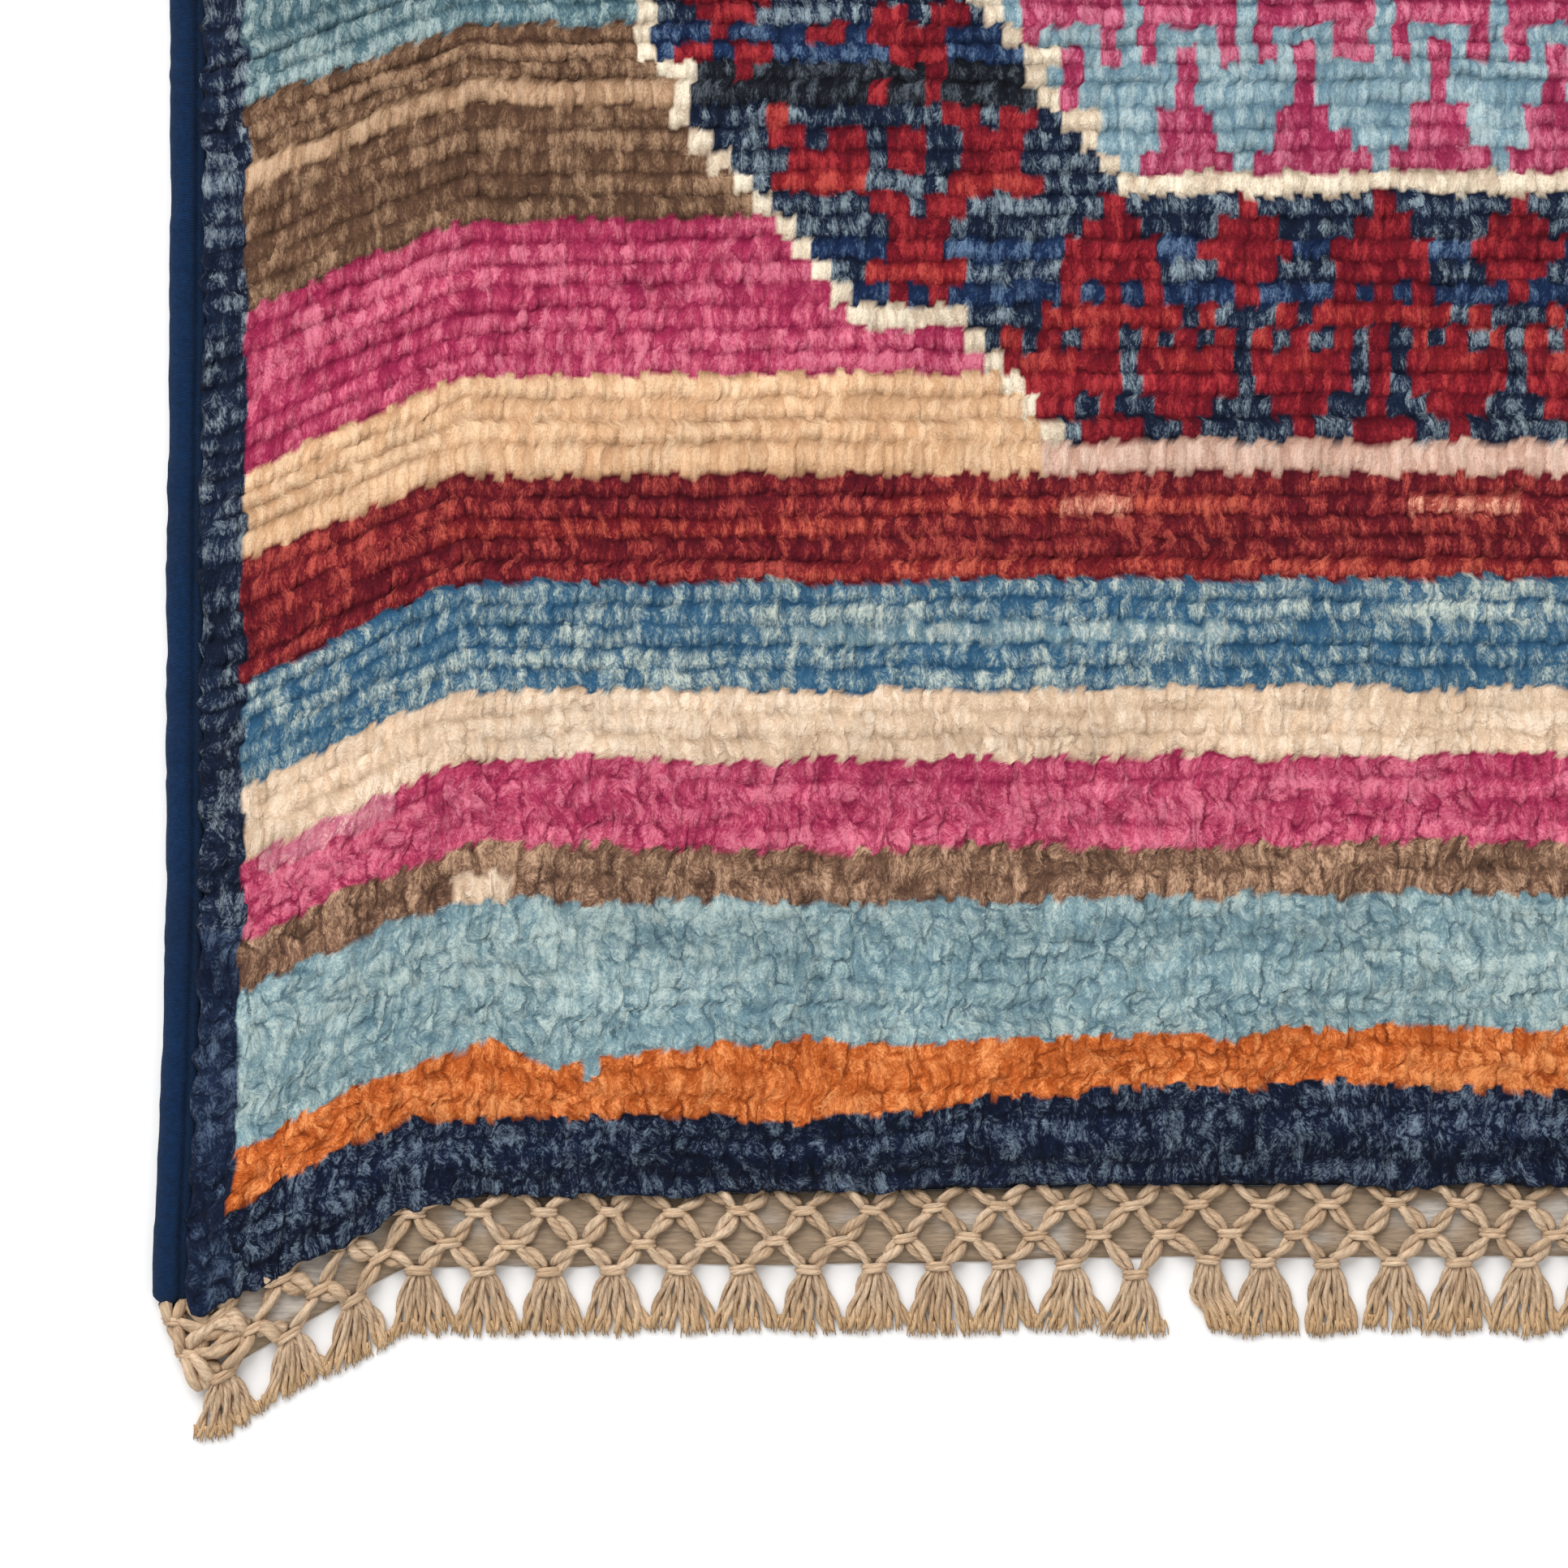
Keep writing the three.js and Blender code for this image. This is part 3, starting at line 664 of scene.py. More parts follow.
def tuft_field(name, first_tuft, last_tuft, first_row, last_row, steps_across, steps_along):
    """A patch of the pile, with a point at each of the steps across and along each tuft."""
    tuft, part_u, line_x = divided(first_tuft, last_tuft, steps_across, TUFT_LINES)
    row, part_v, line_y = divided(first_row, last_row, steps_along, ROW_LINES)
    across, along = np.meshgrid(line_x, line_y)
    own_tuft = np.minimum(tuft, TUFTS - 1)
    own_row = np.minimum(row, ROWS - 1)
    own = np.ix_(own_row, own_tuft)
    from_end = np.minimum(along, PILE_LENGTH - along)
    from_side = PILE_HALF - np.abs(across)
    fluff = ease((FLUFFY_FROM - from_end) / FLUFFY_FADE)

    def swells(table, y=along):
        total = 0
        for amount, in_fluff, width, length, seed in table:
            amount = amount + in_fluff * fluff
            total = total + amount * cloudy(across, y, width * MM, length * MM, seed)
        return total

    # The crown of a tuft is 1 in its middle and 0 in the gaps round it
    crown_u = 1 - np.abs(2 * part_u - 1) ** CROWN_POWER
    crown_v = np.interp(part_v, CROWN_PLACES, CROWN_HEIGHTS)
    crown_u, crown_v = np.meshgrid(crown_u, crown_v)
    crown = crown_u * crown_v
    after_tuft = np.minimum(own_tuft + (part_u > GAP_AFTER_TUFT), TUFTS - 1)
    after_row = np.minimum(own_row + (part_v > GAP_AFTER_ROW), ROWS - 1)
    gap_u = side_gap[np.ix_(own_row, after_tuft)] * (1 - crown_u)
    gap_v = row_gap[np.ix_(after_row, own_tuft)] * (1 - crown_v)
    gap_v = gap_v * (1 - (1 - FLUFFY_ROW_GAPS) * fluff) * (1 + swells(GAP_SWELLS))

    height = pile_height(across, along)
    height -= ROW_GAP * gap_v
    height -= np.where(tuft % 2 == 0, KNOT_GAP, TUFT_GAP)[None] * gap_u
    height += TUFT_RISE * tuft_rise[own] * crown + swells(SWAY_UP) * MM

    held = ease(from_side / EDGE_HOLD)
    slide = ROW_SLIDE * row_slide[own_row][:, None] + swells(SWAY_ACROSS) * MM
    across_laid = across + held * (slide + SIDE_LEAN * tuft_lean[own] * crown)
    spread = EDGE_SPREAD * (1 + swells(SPREAD_SWELLS)) / 2
    across_laid += np.sign(across) * spread * (1 - ease(from_side / EDGE_SPREAD_FROM))
    along_laid = along + uneven(across, along) + swells(SWAY_ALONG) * MM
    along_laid += FRONT_LEAN * (CROWN_PIVOT - crown) + ROW_SHIFT * tuft_shift[own]
    points = lay(across_laid, along_laid, height).reshape(-1, 3)

    # The patch's rim goes down to the ground weave
    top, ring = grid_faces(*across.shape)
    rim = rim_faces(ring, np.arange(len(ring)) + across.size)
    feet = lay(across, along, PILE_FOOT).reshape(-1, 3)[ring]

    # Each point takes the yarn of its own tuft, or of a stray tuft that leans over the line
    stray = spill[own] > ROW_SPILL
    point_row = own_row[:, None] - ((part_v == 0)[:, None] & stray)
    stray = spill[np.ix_(own_row, own_tuft + TUFTS)] > SIDE_SPILL
    point_tuft = own_tuft[None] - ((part_u == 0)[None] & stray)
    yarn = chart[np.clip(point_row, 0, ROWS - 1), np.clip(point_tuft, 0, TUFTS - 1) // 2]

    # The shades and the shares of darker and paler wool vary in streaks along the rows
    # Painted shade: the gaps are painted darker, with more of the darker wool and less of the paler
    gap_shade = np.clip(gap_v + SIDE_GAP_SHADE_SHARE * gap_u, 0, 1)
    tints = row_tint[own_row][:, None]
    shade = 1 + TINT * tints + TINT * tuft_tint[own]
    shade = shade * (1 + swells(SHADE_SWELLS)) * (1 + swells(FLUFFY_SHADE_SWELLS))
    shade = shade * (1 - (1 - GAP_PAINTED_SHADE) * gap_shade)
    patchy = 1 + swells(PATCH_SWELLS) + swells(ROW_PATCH_SWELLS, own_row[:, None] * PATCH_ROW)
    border = 1 - ease((from_side - BORDER) / BORDER_FADE)
    patchy = patchy + ROW_PATCH_TINT * tints + border * swells(BORDER_PATCH_SWELLS)
    patchy = np.clip(patchy, LEAST_PATCHY, MOST_PATCHY)
    dark = DARK_SHARES[yarn] * np.clip(2 - patchy, 0, 1.5) + GAP_PAINTED_DARK_SHARE * gap_shade
    pale = PALE_SHARES[yarn] * patchy * np.clip(from_side / EDGE_HOLD, EDGE_PALE, 1)
    pale = pale - GAP_PAINTED_PALE_LOSS * gap_shade
    shades = {}
    for layer_name, dyes, amount in (
        ("yarn", MAIN_DYES, shade),
        ("dark_wool", DARK_DYES, dark),
        ("pale_wool", PALE_DYES, pale),
    ):
        both = np.concatenate([dyes[yarn], amount[..., None]], axis=2).reshape(-1, 4)
        rim_both = both[ring]
        # The rim's sides are painted darker, as painted shade
        if layer_name == "yarn":
            rim_both[:, 3] *= RIM_PAINTED_SHADE
        shades[layer_name] = np.concatenate([both, rim_both])

    weave_place = [across / (PILE_HALF / KNOTS), (row + part_v)[:, None] + 0 * across, fluff]
    weave_place = np.stack(weave_place, axis=-1).reshape(-1, 3)
    flat = points[:, :2]
    outward = np.sign(flat[ring] - flat.mean(axis=0)) * 0.5 * MM
    return make_piece(
        name,
        np.concatenate([points, feet]),
        [top, rim],
        wool,
        "pile",
        shades,
        threads=np.concatenate([weave_place, weave_place[ring]]),
        bake=flat_layout(np.concatenate([flat, flat[ring] + outward])),
    )


# The tip of each tuft shows as a lock whose fibres fan out from its root, under the row behind.
# Near the ends of the rug the locks are tangled and stand in clumps, with painted shade in the
# crevices.
wool = Finish("pile_wool", sheen=0.04)
place = wool.where()
weave_run = wool.attribute("threads", "Vector")
fluffy = wool.split(weave_run)["Z"]
LOCK_SCATTER = 0.7
LOCK_SHIFT = 0.5 - 0.5 * LOCK_SCATTER
TUFT_SIZE = (1.8, 3.9, 0.0)
LOCK_ROOT = 4.2
LOCK_FIBRES = 17.0
CLUMP_SCATTER = 0.9


def wander(size, detail, reach):
    """A soft random drift, up to about half of reach to each side."""
    drift = wool.vectors("SUBTRACT", wool.noise(place, size, detail, "Color"), (0.5, 0.5, 0.5))
    return wool.vectors("MULTIPLY", drift, reach)


lock_start = wool.stretch(weave_run, (1, 1, 0), (-LOCK_SHIFT, -LOCK_SHIFT, 0))
tangle = wool.between(fluffy, 0, 1, 0.25, 1)
large_drift = wool.scaled(wander(120, 0.0, (1.8, 1.0, 0)), tangle)
drift = wool.vectors("ADD", wander(420, 0.0, (1.1, 0.5, 0)), large_drift)
drift = wool.vectors("ADD", drift, wander(1900, 1.0, (0.7, 0.32, 0)))
lock_run = wool.vectors("ADD", lock_start, drift)
lock = wool.cells(lock_run, LOCK_SCATTER)
# The middle of each lock stands highest in the bump, and gets a painted highlight in the colour
lock_highlight_and_height = wool.between(lock["Distance"], 0.05, 0.8, 1, 0)
lock_luck = wool.node("SeparateColor", {0: lock["Color"]}).outputs

# Where a spot lies in its lock, in millimetres, turned a little and fanned out from the root
lock_place = wool.vectors("ADD", lock_start, large_drift)
lock_place = wool.vectors("SUBTRACT", lock_place, lock["Position"])
lock_place = wool.vectors("MULTIPLY", lock_place, TUFT_SIZE)
turn = wool.between(lock_luck["Red"], 0, 1, -0.8, 0.8)
turn = wool.times(turn, wool.between(fluffy, 0, 1, 0.5, 1.3))
turned = wool.node("VectorRotate", {"Vector": lock_place, "Angle": turn}, rotation_type="Z_AXIS")
lock_place = wool.split(turned.outputs[0])
from_root = wool.less(LOCK_ROOT, lock_place["Y"])
fibre_run = wool.node("CombineXYZ", {
    0: wool.times(wool.maths("DIVIDE", lock_place["X"], from_root), LOCK_FIBRES),
    1: wool.times(from_root, wool.between(fluffy, 0, 1, 0.7, 1.2)),
    2: wool.times(lock_luck["Blue"], 60),
}).outputs[0]
fibres = wool.times(wool.noise(fibre_run, 1.0, 1.5), 0.7)
fibres = wool.plus(fibres, wool.times(wool.noise(place, 1700, 1.0), 0.3))
fibre_share = wool.between(fibres, 0.35, 0.65, 0, 1)

# The clumps, and the broken crevices between them, sunk by the bump and painted dark as painted
# shade
clump_run = wool.stretch(weave_run, (0.5, 0.8, 0))
clump_run = wool.vectors("ADD", clump_run, wool.scaled(drift, 0.45))
clump_colour = wool.cells(clump_run, CLUMP_SCATTER)["Color"]
clump_luck = wool.node("SeparateColor", {0: clump_colour}).outputs["Red"]
clump_edge = wool.cells(clump_run, CLUMP_SCATTER, feature="DISTANCE_TO_EDGE")["Distance"]
broken = wool.between(wool.noise(place, 210, 1.0), 0.42, 0.62, 0, 1)
crevice_depth_and_shade = wool.between(clump_edge, 0.0, 0.12, 0.62, 0)
crevice_depth_and_shade = wool.times(crevice_depth_and_shade, wool.times(broken, fluffy))

# Where a painted highlight on the middle of each lock, its fibres and its own shade add up high
# the paler wool shows, and where they add up low the darker wool, with a soft change between
SOFT = 0.3
PALE_FROM = 0.8
DARK_TO = 0.24
SHARE_REACH = 0.6
lock_tone = wool.mixed(wool.times(fluffy, 0.4), lock_luck["Green"], clump_luck)
luck = wool.plus(wool.times(fibre_share, 0.38), wool.times(lock_tone, 0.36))
# The painted highlight on the middle of each lock
luck = wool.plus(wool.times(lock_highlight_and_height, 0.3), luck)
# The crevices push the sum towards the darker wool, as painted shade
luck = wool.less(luck, wool.times(crevice_depth_and_shade, 0.5))
pale_share = wool.times(wool.attribute("pale_wool", "Alpha"), SHARE_REACH)
pale_low = wool.less(PALE_FROM - SOFT, pale_share)
pale = wool.between(luck, pale_low, wool.plus(pale_low, 2 * SOFT), 0, 1)
dark_share = wool.times(wool.attribute("dark_wool", "Alpha"), SHARE_REACH)
dark_high = wool.plus(dark_share, DARK_TO + SOFT)
dark = wool.between(luck, wool.less(dark_high, 2 * SOFT), dark_high, 1, 0)
colour = wool.mixed(pale, wool.attribute("yarn", "Color"), wool.attribute("pale_wool", "Color"))
colour = wool.mixed(dark, colour, wool.attribute("dark_wool", "Color"))
# The tone follows the same sum, so it carries the painted highlight and shade too
tone = wool.times(wool.attribute("yarn", "Alpha"), wool.between(luck, 0.1, 0.9, 0.93, 1.06))
# The crevices are painted down to 0.7 of the brightness, as painted shade
wool.paint(colour, wool.times(tone, wool.between(crevice_depth_and_shade, 0, 1, 1, 0.7)))
wool_height = wool.plus(wool.times(lock_highlight_and_height, 0.9), wool.times(fibre_share, 0.25))
wool.relief(wool.less(wool_height, crevice_depth_and_shade), 0.35 * MM)

FINE_STEPS = (0, 1 / 3, 2 / 3), (0, 0.2, 0.5, 0.8)
PLAIN_STEPS = (0, 0.5), (0, 0.45)
NEAR_TUFTS = 142
NEAR_ROWS = 55
BACK_ROW = 130
pile_patches = [
    tuft_field("pile_near", 0, NEAR_TUFTS, 0, NEAR_ROWS, *FINE_STEPS),
    tuft_field("pile_front", NEAR_TUFTS, TUFTS, 0, NEAR_ROWS, *PLAIN_STEPS),
    tuft_field("pile_middle", 0, TUFTS, NEAR_ROWS, BACK_ROW, *PLAIN_STEPS),
    tuft_field("pile_back", 0, TUFTS, BACK_ROW, ROWS, *PLAIN_STEPS),
]


# The side cords: a thick outer and a thin inner bundle of warps on each long side, overcast
# with fine navy wool so tightly that only a slanting grain shows. They end rounded over at
# the corners of the pile.

SELVEDGE_WIDTH = 7.2 * MM
CORD_SECTION = np.array([
    (1.1, 0), (3.8, 0), (6.5, 0), (7.2, 1.4), (6.7, 3.2), (5.7, 3.6),
    (5.0, 2.9), (4.3, 4.5), (2.6, 5.2), (0.8, 4.4), (0, 2.5),
]) * MM
INNER_CORD_FROM = 4.4 * MM
CORD_END_ROUNDING = 3 * MM
CORD_END_SIZE = 0.5
CORD_END_HEIGHT = 2 * MM
CORD_END_BULGE = 0.7 * MM
CORD_INSET = 0.5 * MM
CORD_STEP = 2.4 * MM
NEAR_CORD_STEP = 0.9 * MM
NEAR_CORD = 250 * MM
WRAPS_PER_METRE = 1150
WRAP_SLANT = 2.2
WRAPS_ROUND = 9

# How uneven the cords are in thickness: amount, length, share of the way round, and seed
PLUMP_SWELLS = [(0.045, 6 * MM, 0.4, 41), (0.035, 2.2 * MM, 0.3, 44)]
OVERCAST_BLUE = dye((12, 47, 86))
OVERCAST_DARK = dye((15, 42, 74))

overcast = Finish("selvedge_wool", sheen=0.05)
wrap_run = overcast.attribute("threads", "Vector")
wraps = overcast.node("TexWave", {
    "Vector": wrap_run, "Scale": 1.0, "Distortion": 1.2, "Detail": 1.0, "Detail Scale": 2.0,
}).outputs["Fac"]
hairs = overcast.noise(overcast.stretch(wrap_run, (3.0, 0.5, 1.0)), 2.0, 3.0)
mottle = overcast.noise(overcast.where(), 1100, 2.0)
wrap_tone = overcast.times(
    overcast.toned(mottle, 0.76, 1.2), overcast.toned(hairs, 0.75, 1.2)
)
overcast.paint(overcast.attribute("yarn", "Color"), wrap_tone)
overcast.relief(overcast.plus(overcast.plus(wraps, hairs), mottle), 0.22 * MM)


def smooth_curve(before, here, after, later, t):
    """A point between here and after on a smooth curve through all four."""
    curve = 2 * here + (after - before) * t + (2 * before - 5 * here + 4 * after - later) * t**2
    return (curve + (3 * here - before - 3 * after + later) * t**3) / 2


def tube_faces(rings, sides):
    """Side faces of a tube, and a fan at each end round two more points after the rings."""
    index = np.arange(rings * sides).reshape(rings, sides)
    turned = np.roll(index, -1, axis=1)
    walls = np.stack([index[:-1], turned[:-1], turned[1:], index[1:]], axis=-1).reshape(-1, 4)
    first, last = rings * sides, rings * sides + 1
    near = np.stack([turned[0], index[0], np.full(sides, first)], axis=-1)
    far = np.stack([index[-1], turned[-1], np.full(sides, last)], axis=-1)
    return [walls, near, far]


# The section with one more point between each two, on a smooth curve
corner_points = [np.roll(CORD_SECTION, by, axis=0)[:, None] for by in (1, 0, -1, -2)]
halfway = np.array([0, 0.5])[None, :, None]
cord_round = smooth_curve(*corner_points, halfway).reshape(-1, 2)


def side_cords(name, node, side, near_step):
    cord_end = PILE_LENGTH - CORD_INSET
    places = np.arange(CORD_INSET, NEAR_CORD, near_step)
    places = np.concatenate([places, np.arange(NEAR_CORD, cord_end, CORD_STEP), [cord_end]])
    from_end = np.minimum(places, PILE_LENGTH - places)
    full = np.sqrt(ease(from_end / CORD_END_ROUNDING))
    full = CORD_END_SIZE + (1 - CORD_END_SIZE) * full[:, None]
    along = np.repeat(places[:, None], len(cord_round), axis=1)
    turn = np.repeat(np.arange(len(cord_round))[None] / len(cord_round), len(places), axis=0)
    plump = 1
    for amount, length, round_share, seed in PLUMP_SWELLS:
        plump = plump * (1 + amount * cloudy(along, turn, length, round_share, seed + side))
    half = SELVEDGE_WIDTH / 2
    inward = half + (cord_round[:, 0][None] - half) * full * plump
    height = np.maximum(cord_round[:, 1][None] * full * plump, 0)
    points = lay(side * (RUG_HALF - inward), along, height).reshape(-1, 3)
    ends = lay(np.full(2, side * (RUG_HALF - half)), places[[0, -1]], CORD_END_HEIGHT)
    ends[:, 1] += np.array([-CORD_END_BULGE, CORD_END_BULGE])
    faces = tube_faces(len(places), len(cord_round))
    if side < 0:
        faces = turned_over(faces)
    threads = [along * WRAPS_PER_METRE + turn * WRAP_SLANT, turn * WRAPS_ROUND, 0 * turn]
    threads = np.stack(threads, axis=-1)
    inner_cord = ease((cord_round[:, 0] - INNER_CORD_FROM) / (1.2 * MM))[None, :, None]
    shades = OVERCAST_BLUE + (OVERCAST_DARK - OVERCAST_BLUE) * inner_cord
    shades = shades * (1 + 0.1 * cloudy(along, turn, 30 * MM, 0.5, 47)[..., None])
    return make_piece(
        name,
        np.concatenate([points, ends]),
        faces,
        overcast,
        node,
        {"yarn": np.concatenate([shades.reshape(-1, 3), np.tile(OVERCAST_DARK, (2, 1))])},
        threads=np.concatenate([threads.reshape(-1, 3), np.zeros((2, 3))]),
    )


side_pieces = [
    side_cords("side_cords_left", "selvedge_left", -1, NEAR_CORD_STEP),
    side_cords("side_cords_right", "selvedge_right", 1, CORD_STEP),
]


# The woven ends: past the last knots the warps are closed with a short strip of plain flat
# weave in greyish cotton. It lies under the net and shows through the net's holes.

SEAM = 0.3 * MM
STRIP_DEPTH = 13.2 * MM
STRIP_HALF = 291 * MM
STRIP_TAPER = 5 * MM
STRIP_THICKNESS = 1.2 * MM
STRIP_EDGE_WAVE = 0.35 * MM
STRIP_RIPPLE = 0.12 * MM
STRIP_EDGE_DROP = 0.6 * MM
STRIP_EDGE = 0.93
STRIP_STEPS = 180
STRIP_ROWS = 8
STRIP_GREY = dye((166, 146, 124))
STRIP_PALE = dye((204, 196, 186))

strip = Finish("strip_cotton")
picks = strip.noise(strip.stretch(strip.where(), (260, 1500, 400)), 1.0, 2.0)
strip.paint(strip.attribute("yarn", "Color"), strip.toned(picks, 0.72, 1.12))
strip.relief(picks, 0.35 * MM)


def woven_end(name, node, end):
    across, out = np.meshgrid(
        np.linspace(-1, 1, STRIP_STEPS + 1),
        np.linspace(SEAM, SEAM + STRIP_DEPTH, STRIP_ROWS + 1),
    )
    edge = (out - SEAM) / STRIP_DEPTH
    across = across * (STRIP_HALF - STRIP_TAPER * edge)
    out = out + STRIP_EDGE_WAVE * edge**3 * cloudy(across, out, 8 * MM, 50 * MM, 51 + end)
    along = -out if end < 0 else PILE_LENGTH + out
    height = STRIP_THICKNESS + STRIP_RIPPLE * cloudy(across, out, 5 * MM, 2 * MM, 53)
    height = height - STRIP_EDGE_DROP * ease((edge - STRIP_EDGE) / (1 - STRIP_EDGE))
    top = lay(across, along, height).reshape(-1, 3)
    under = lay(across, along, 0).reshape(-1, 3)
    faces = slab_faces(*across.shape)
    if end < 0:
        faces = turned_over(faces)
    pale = ease(cloudy(across, out, 9 * MM, 5 * MM, 55) * 2 - 0.6)[..., None]
    shades = (STRIP_GREY + pale * (STRIP_PALE - STRIP_GREY)).reshape(-1, 3)
    return make_piece(
        name,
        np.concatenate([top, under]),
        faces,
        strip,
        node,
        {"yarn": np.concatenate([shades, shades])},
    )


strip_pieces = [
    woven_end("woven_end_front", "kilim_end_front", -1),
    woven_end("woven_end_back", "kilim_end_back", 1),
]


# The knotted fringe: the warps' ends, plied into tan cords. Pairs are bound together in three
# staggered rows, each knot two turns of thread across the cords, and below the last row they
# hang on as short frayed tassels that lie on the floor.

TASSELS = 49
FRINGE_HALF = 288.5 * MM
TASSEL_PITCH = 2 * FRINGE_HALF / (TASSELS - 1)
NET_FLOOR = (STRIP_THICKNESS + SEAM) / MM
COTTON_TAN = dye((208, 182, 154))
COTTON_SHADE = dye((172, 141, 110))
TIP_TINT = np.array([1.0, 0.93, 0.78])

# The fringe's other lengths are in millimetres. Its rows of knots: how far out, how many, and
# how uneven.
NET_ROWS = [(3.4, 49, 0.25), (9.1, 48, 0.3), (14.2, 49, 0.2)]
LAST_ROW = 2
FRINGE_REACH = 28.3
LEAN = 0.12
UNEVEN_TASSEL = 0.7
UNEVEN_LOCK = 0.4

# Tassels tied lower, set aside or combed over, by end and number: how much lower, how far
# aside, how wide they spread and how far their tips are combed sideways
ODD_TASSELS = {
    (-1, 14): (2.2, 0, 0.9, -0.8),
    (-1, 15): (-0.6, 1.5, 0.6, 4.0),
    (-1, 17): (0.2, -0.4, 0.8, 0.6),
    (-1, 31): (0.8, 0.6, 0.85, 0),
    (1, 9): (1.2, -0.5, 0.85, 0),
    (1, 34): (0.6, 0.7, 0.8, 0),
}
EVEN_TASSEL = (0, 0, 1.0, 0)

# The two knots of the side cords' warps at each end of the net: how far beside the last tassel's
# first knot, and how far out
EDGE_KNOTS = [(7.6, 3.0), (5.8, 9.0)]

# The cords between the knots: from where, how far beside and below, and to where, how far
# beside and below. The pile's edge, above a knot, is where the first cords come out.
FOOT_CORDS = [("edge", 6.0, -1.2, "first", 0.9, -0.6)]
NET_CORDS = [
    ("first", 0.8, 0.6, "middle", -0.9, -0.6),
    ("next_first", -0.8, 0.6, "middle", 0.9, -0.6),
    ("middle", -0.8, 0.6, "last", 0.9, -0.6),
    ("middle", 0.8, 0.6, "next_last", -0.9, -0.6),
]
CORNER_CORDS = [
    ("edge", 1.6, -0.6, "high", 0.7, -0.4),
    ("edge", -1.8, -1.2, "high", -0.7, -0.4),
    ("high", 0.3, 0.6, "low", 0.7, 0),
    ("high", -0.9, 0.6, "middle", 1.5, -1.5),
    ("first", 0.8, 0.6, "low", -0.7, 0),
    ("first", 1.4, 0, "high", -0.6, 0.6),
    ("middle", 1.2, 0, "low", -1.2, 0.4),
    ("low", 0.3, 0.6, "last", 0.9, -0.6),
    ("low", -0.9, 0.6, "last", 2.2, -1.2),
    ("low", 0.9, 0.6, "last", 3.4, 1.2),
]

# The height of a cord's middle over the net's floor along its way, how far under that floor a
# first cord starts, how far it has come up a third of the way on, and the cords' widths
NET_HEIGHTS = np.array([1.0, 1.45, 1.45, 1.0])
NET_UNEVEN = 0.15
ROOT_DEPTH = 2.2
ROOT_RISE = 0.1
NET_TURNS = 60
NET_WIDTH = 2.1
NET_SWELL = 1.2
NET_BOW = 0.07
CORNER_PLUMP = 1.35
CORNER_REACH = 30

# A tassel: how far its outer cords stand from its middle under the knot, where they bend down
# to the floor and at their tips, and the widths of a cord
TASSEL_ROOT = 1.1
TASSEL_BEND = 3.9
TASSEL_TIP = 5.7
BEND_OUT = 6.0
TASSEL_TURNS = 80
TASSEL_WIDTH = 1.5
TIP_NARROWING = 0.5
FRAY_WIDTHS = (0.6, 0.2)

# The thread of a knot: its width, half its length across, its route over the cords and tints
THREAD = 1.1
THREAD_HALF = 2.0
THREAD_PITCH = 0.8
THREAD_ARC = [(-1, 0.35), (-0.82, 1.7), (0, 2.55), (0.82, 1.7), (1, 0.35)]
THREAD_TINT = 1.12
# The frays keep the tips' ochre tint, brightened as painted light against the shade they lie in
FRAY_PAINTED_LIGHT_TINT = 1.35 * TIP_TINT

# How fine the cords are made: points along each kind, sides round them, cords to a tassel,
# frayed fibres to a cord, and how much wider than its root a cord gets
Detail = namedtuple("Detail", "net knot tassel fray sides cords frays swell")
NEAR_DETAIL = Detail(net=10, knot=11, tassel=13, fray=4, sides=5, cords=7, frays=5, swell=0.5)
FAR_DETAIL = Detail(net=6, knot=7, tassel=8, fray=3, sides=4, cords=5, frays=2, swell=0.9)

UP = np.array([0.0, 0.0, 1.0])
OUTWARD = np.array([0.0, 1.0, 0.0])
FIBRE_SLANT = 0.6
STRAND_APART = 7.3

cotton = Finish("fringe_cotton")
strand_run = cotton.attribute("threads", "Vector")
strand_grain = cotton.noise(cotton.stretch(strand_run, (2.2, 2.2, 0.2)), 1.6, 1.5)
strand_tone = cotton.between(strand_grain, 0.32, 0.68, 0.66, 1.22)
cotton.paint(cotton.attribute("yarn", "Color"), strand_tone)
cotton.relief(strand_grain, 0.25 * MM)


def fringe_random(seed):
    """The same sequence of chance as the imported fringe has, so that the knots lie on it."""
    state = seed
    while True:
        state = (state * 1664525 + 1013904223) % 4294967296
        yield state / 4294967296


def around(turn, aside, lift):
    """Which way the angle turn points from the middle of a strand."""
    return np.cos(turn)[..., None] * aside + np.sin(turn)[..., None] * lift


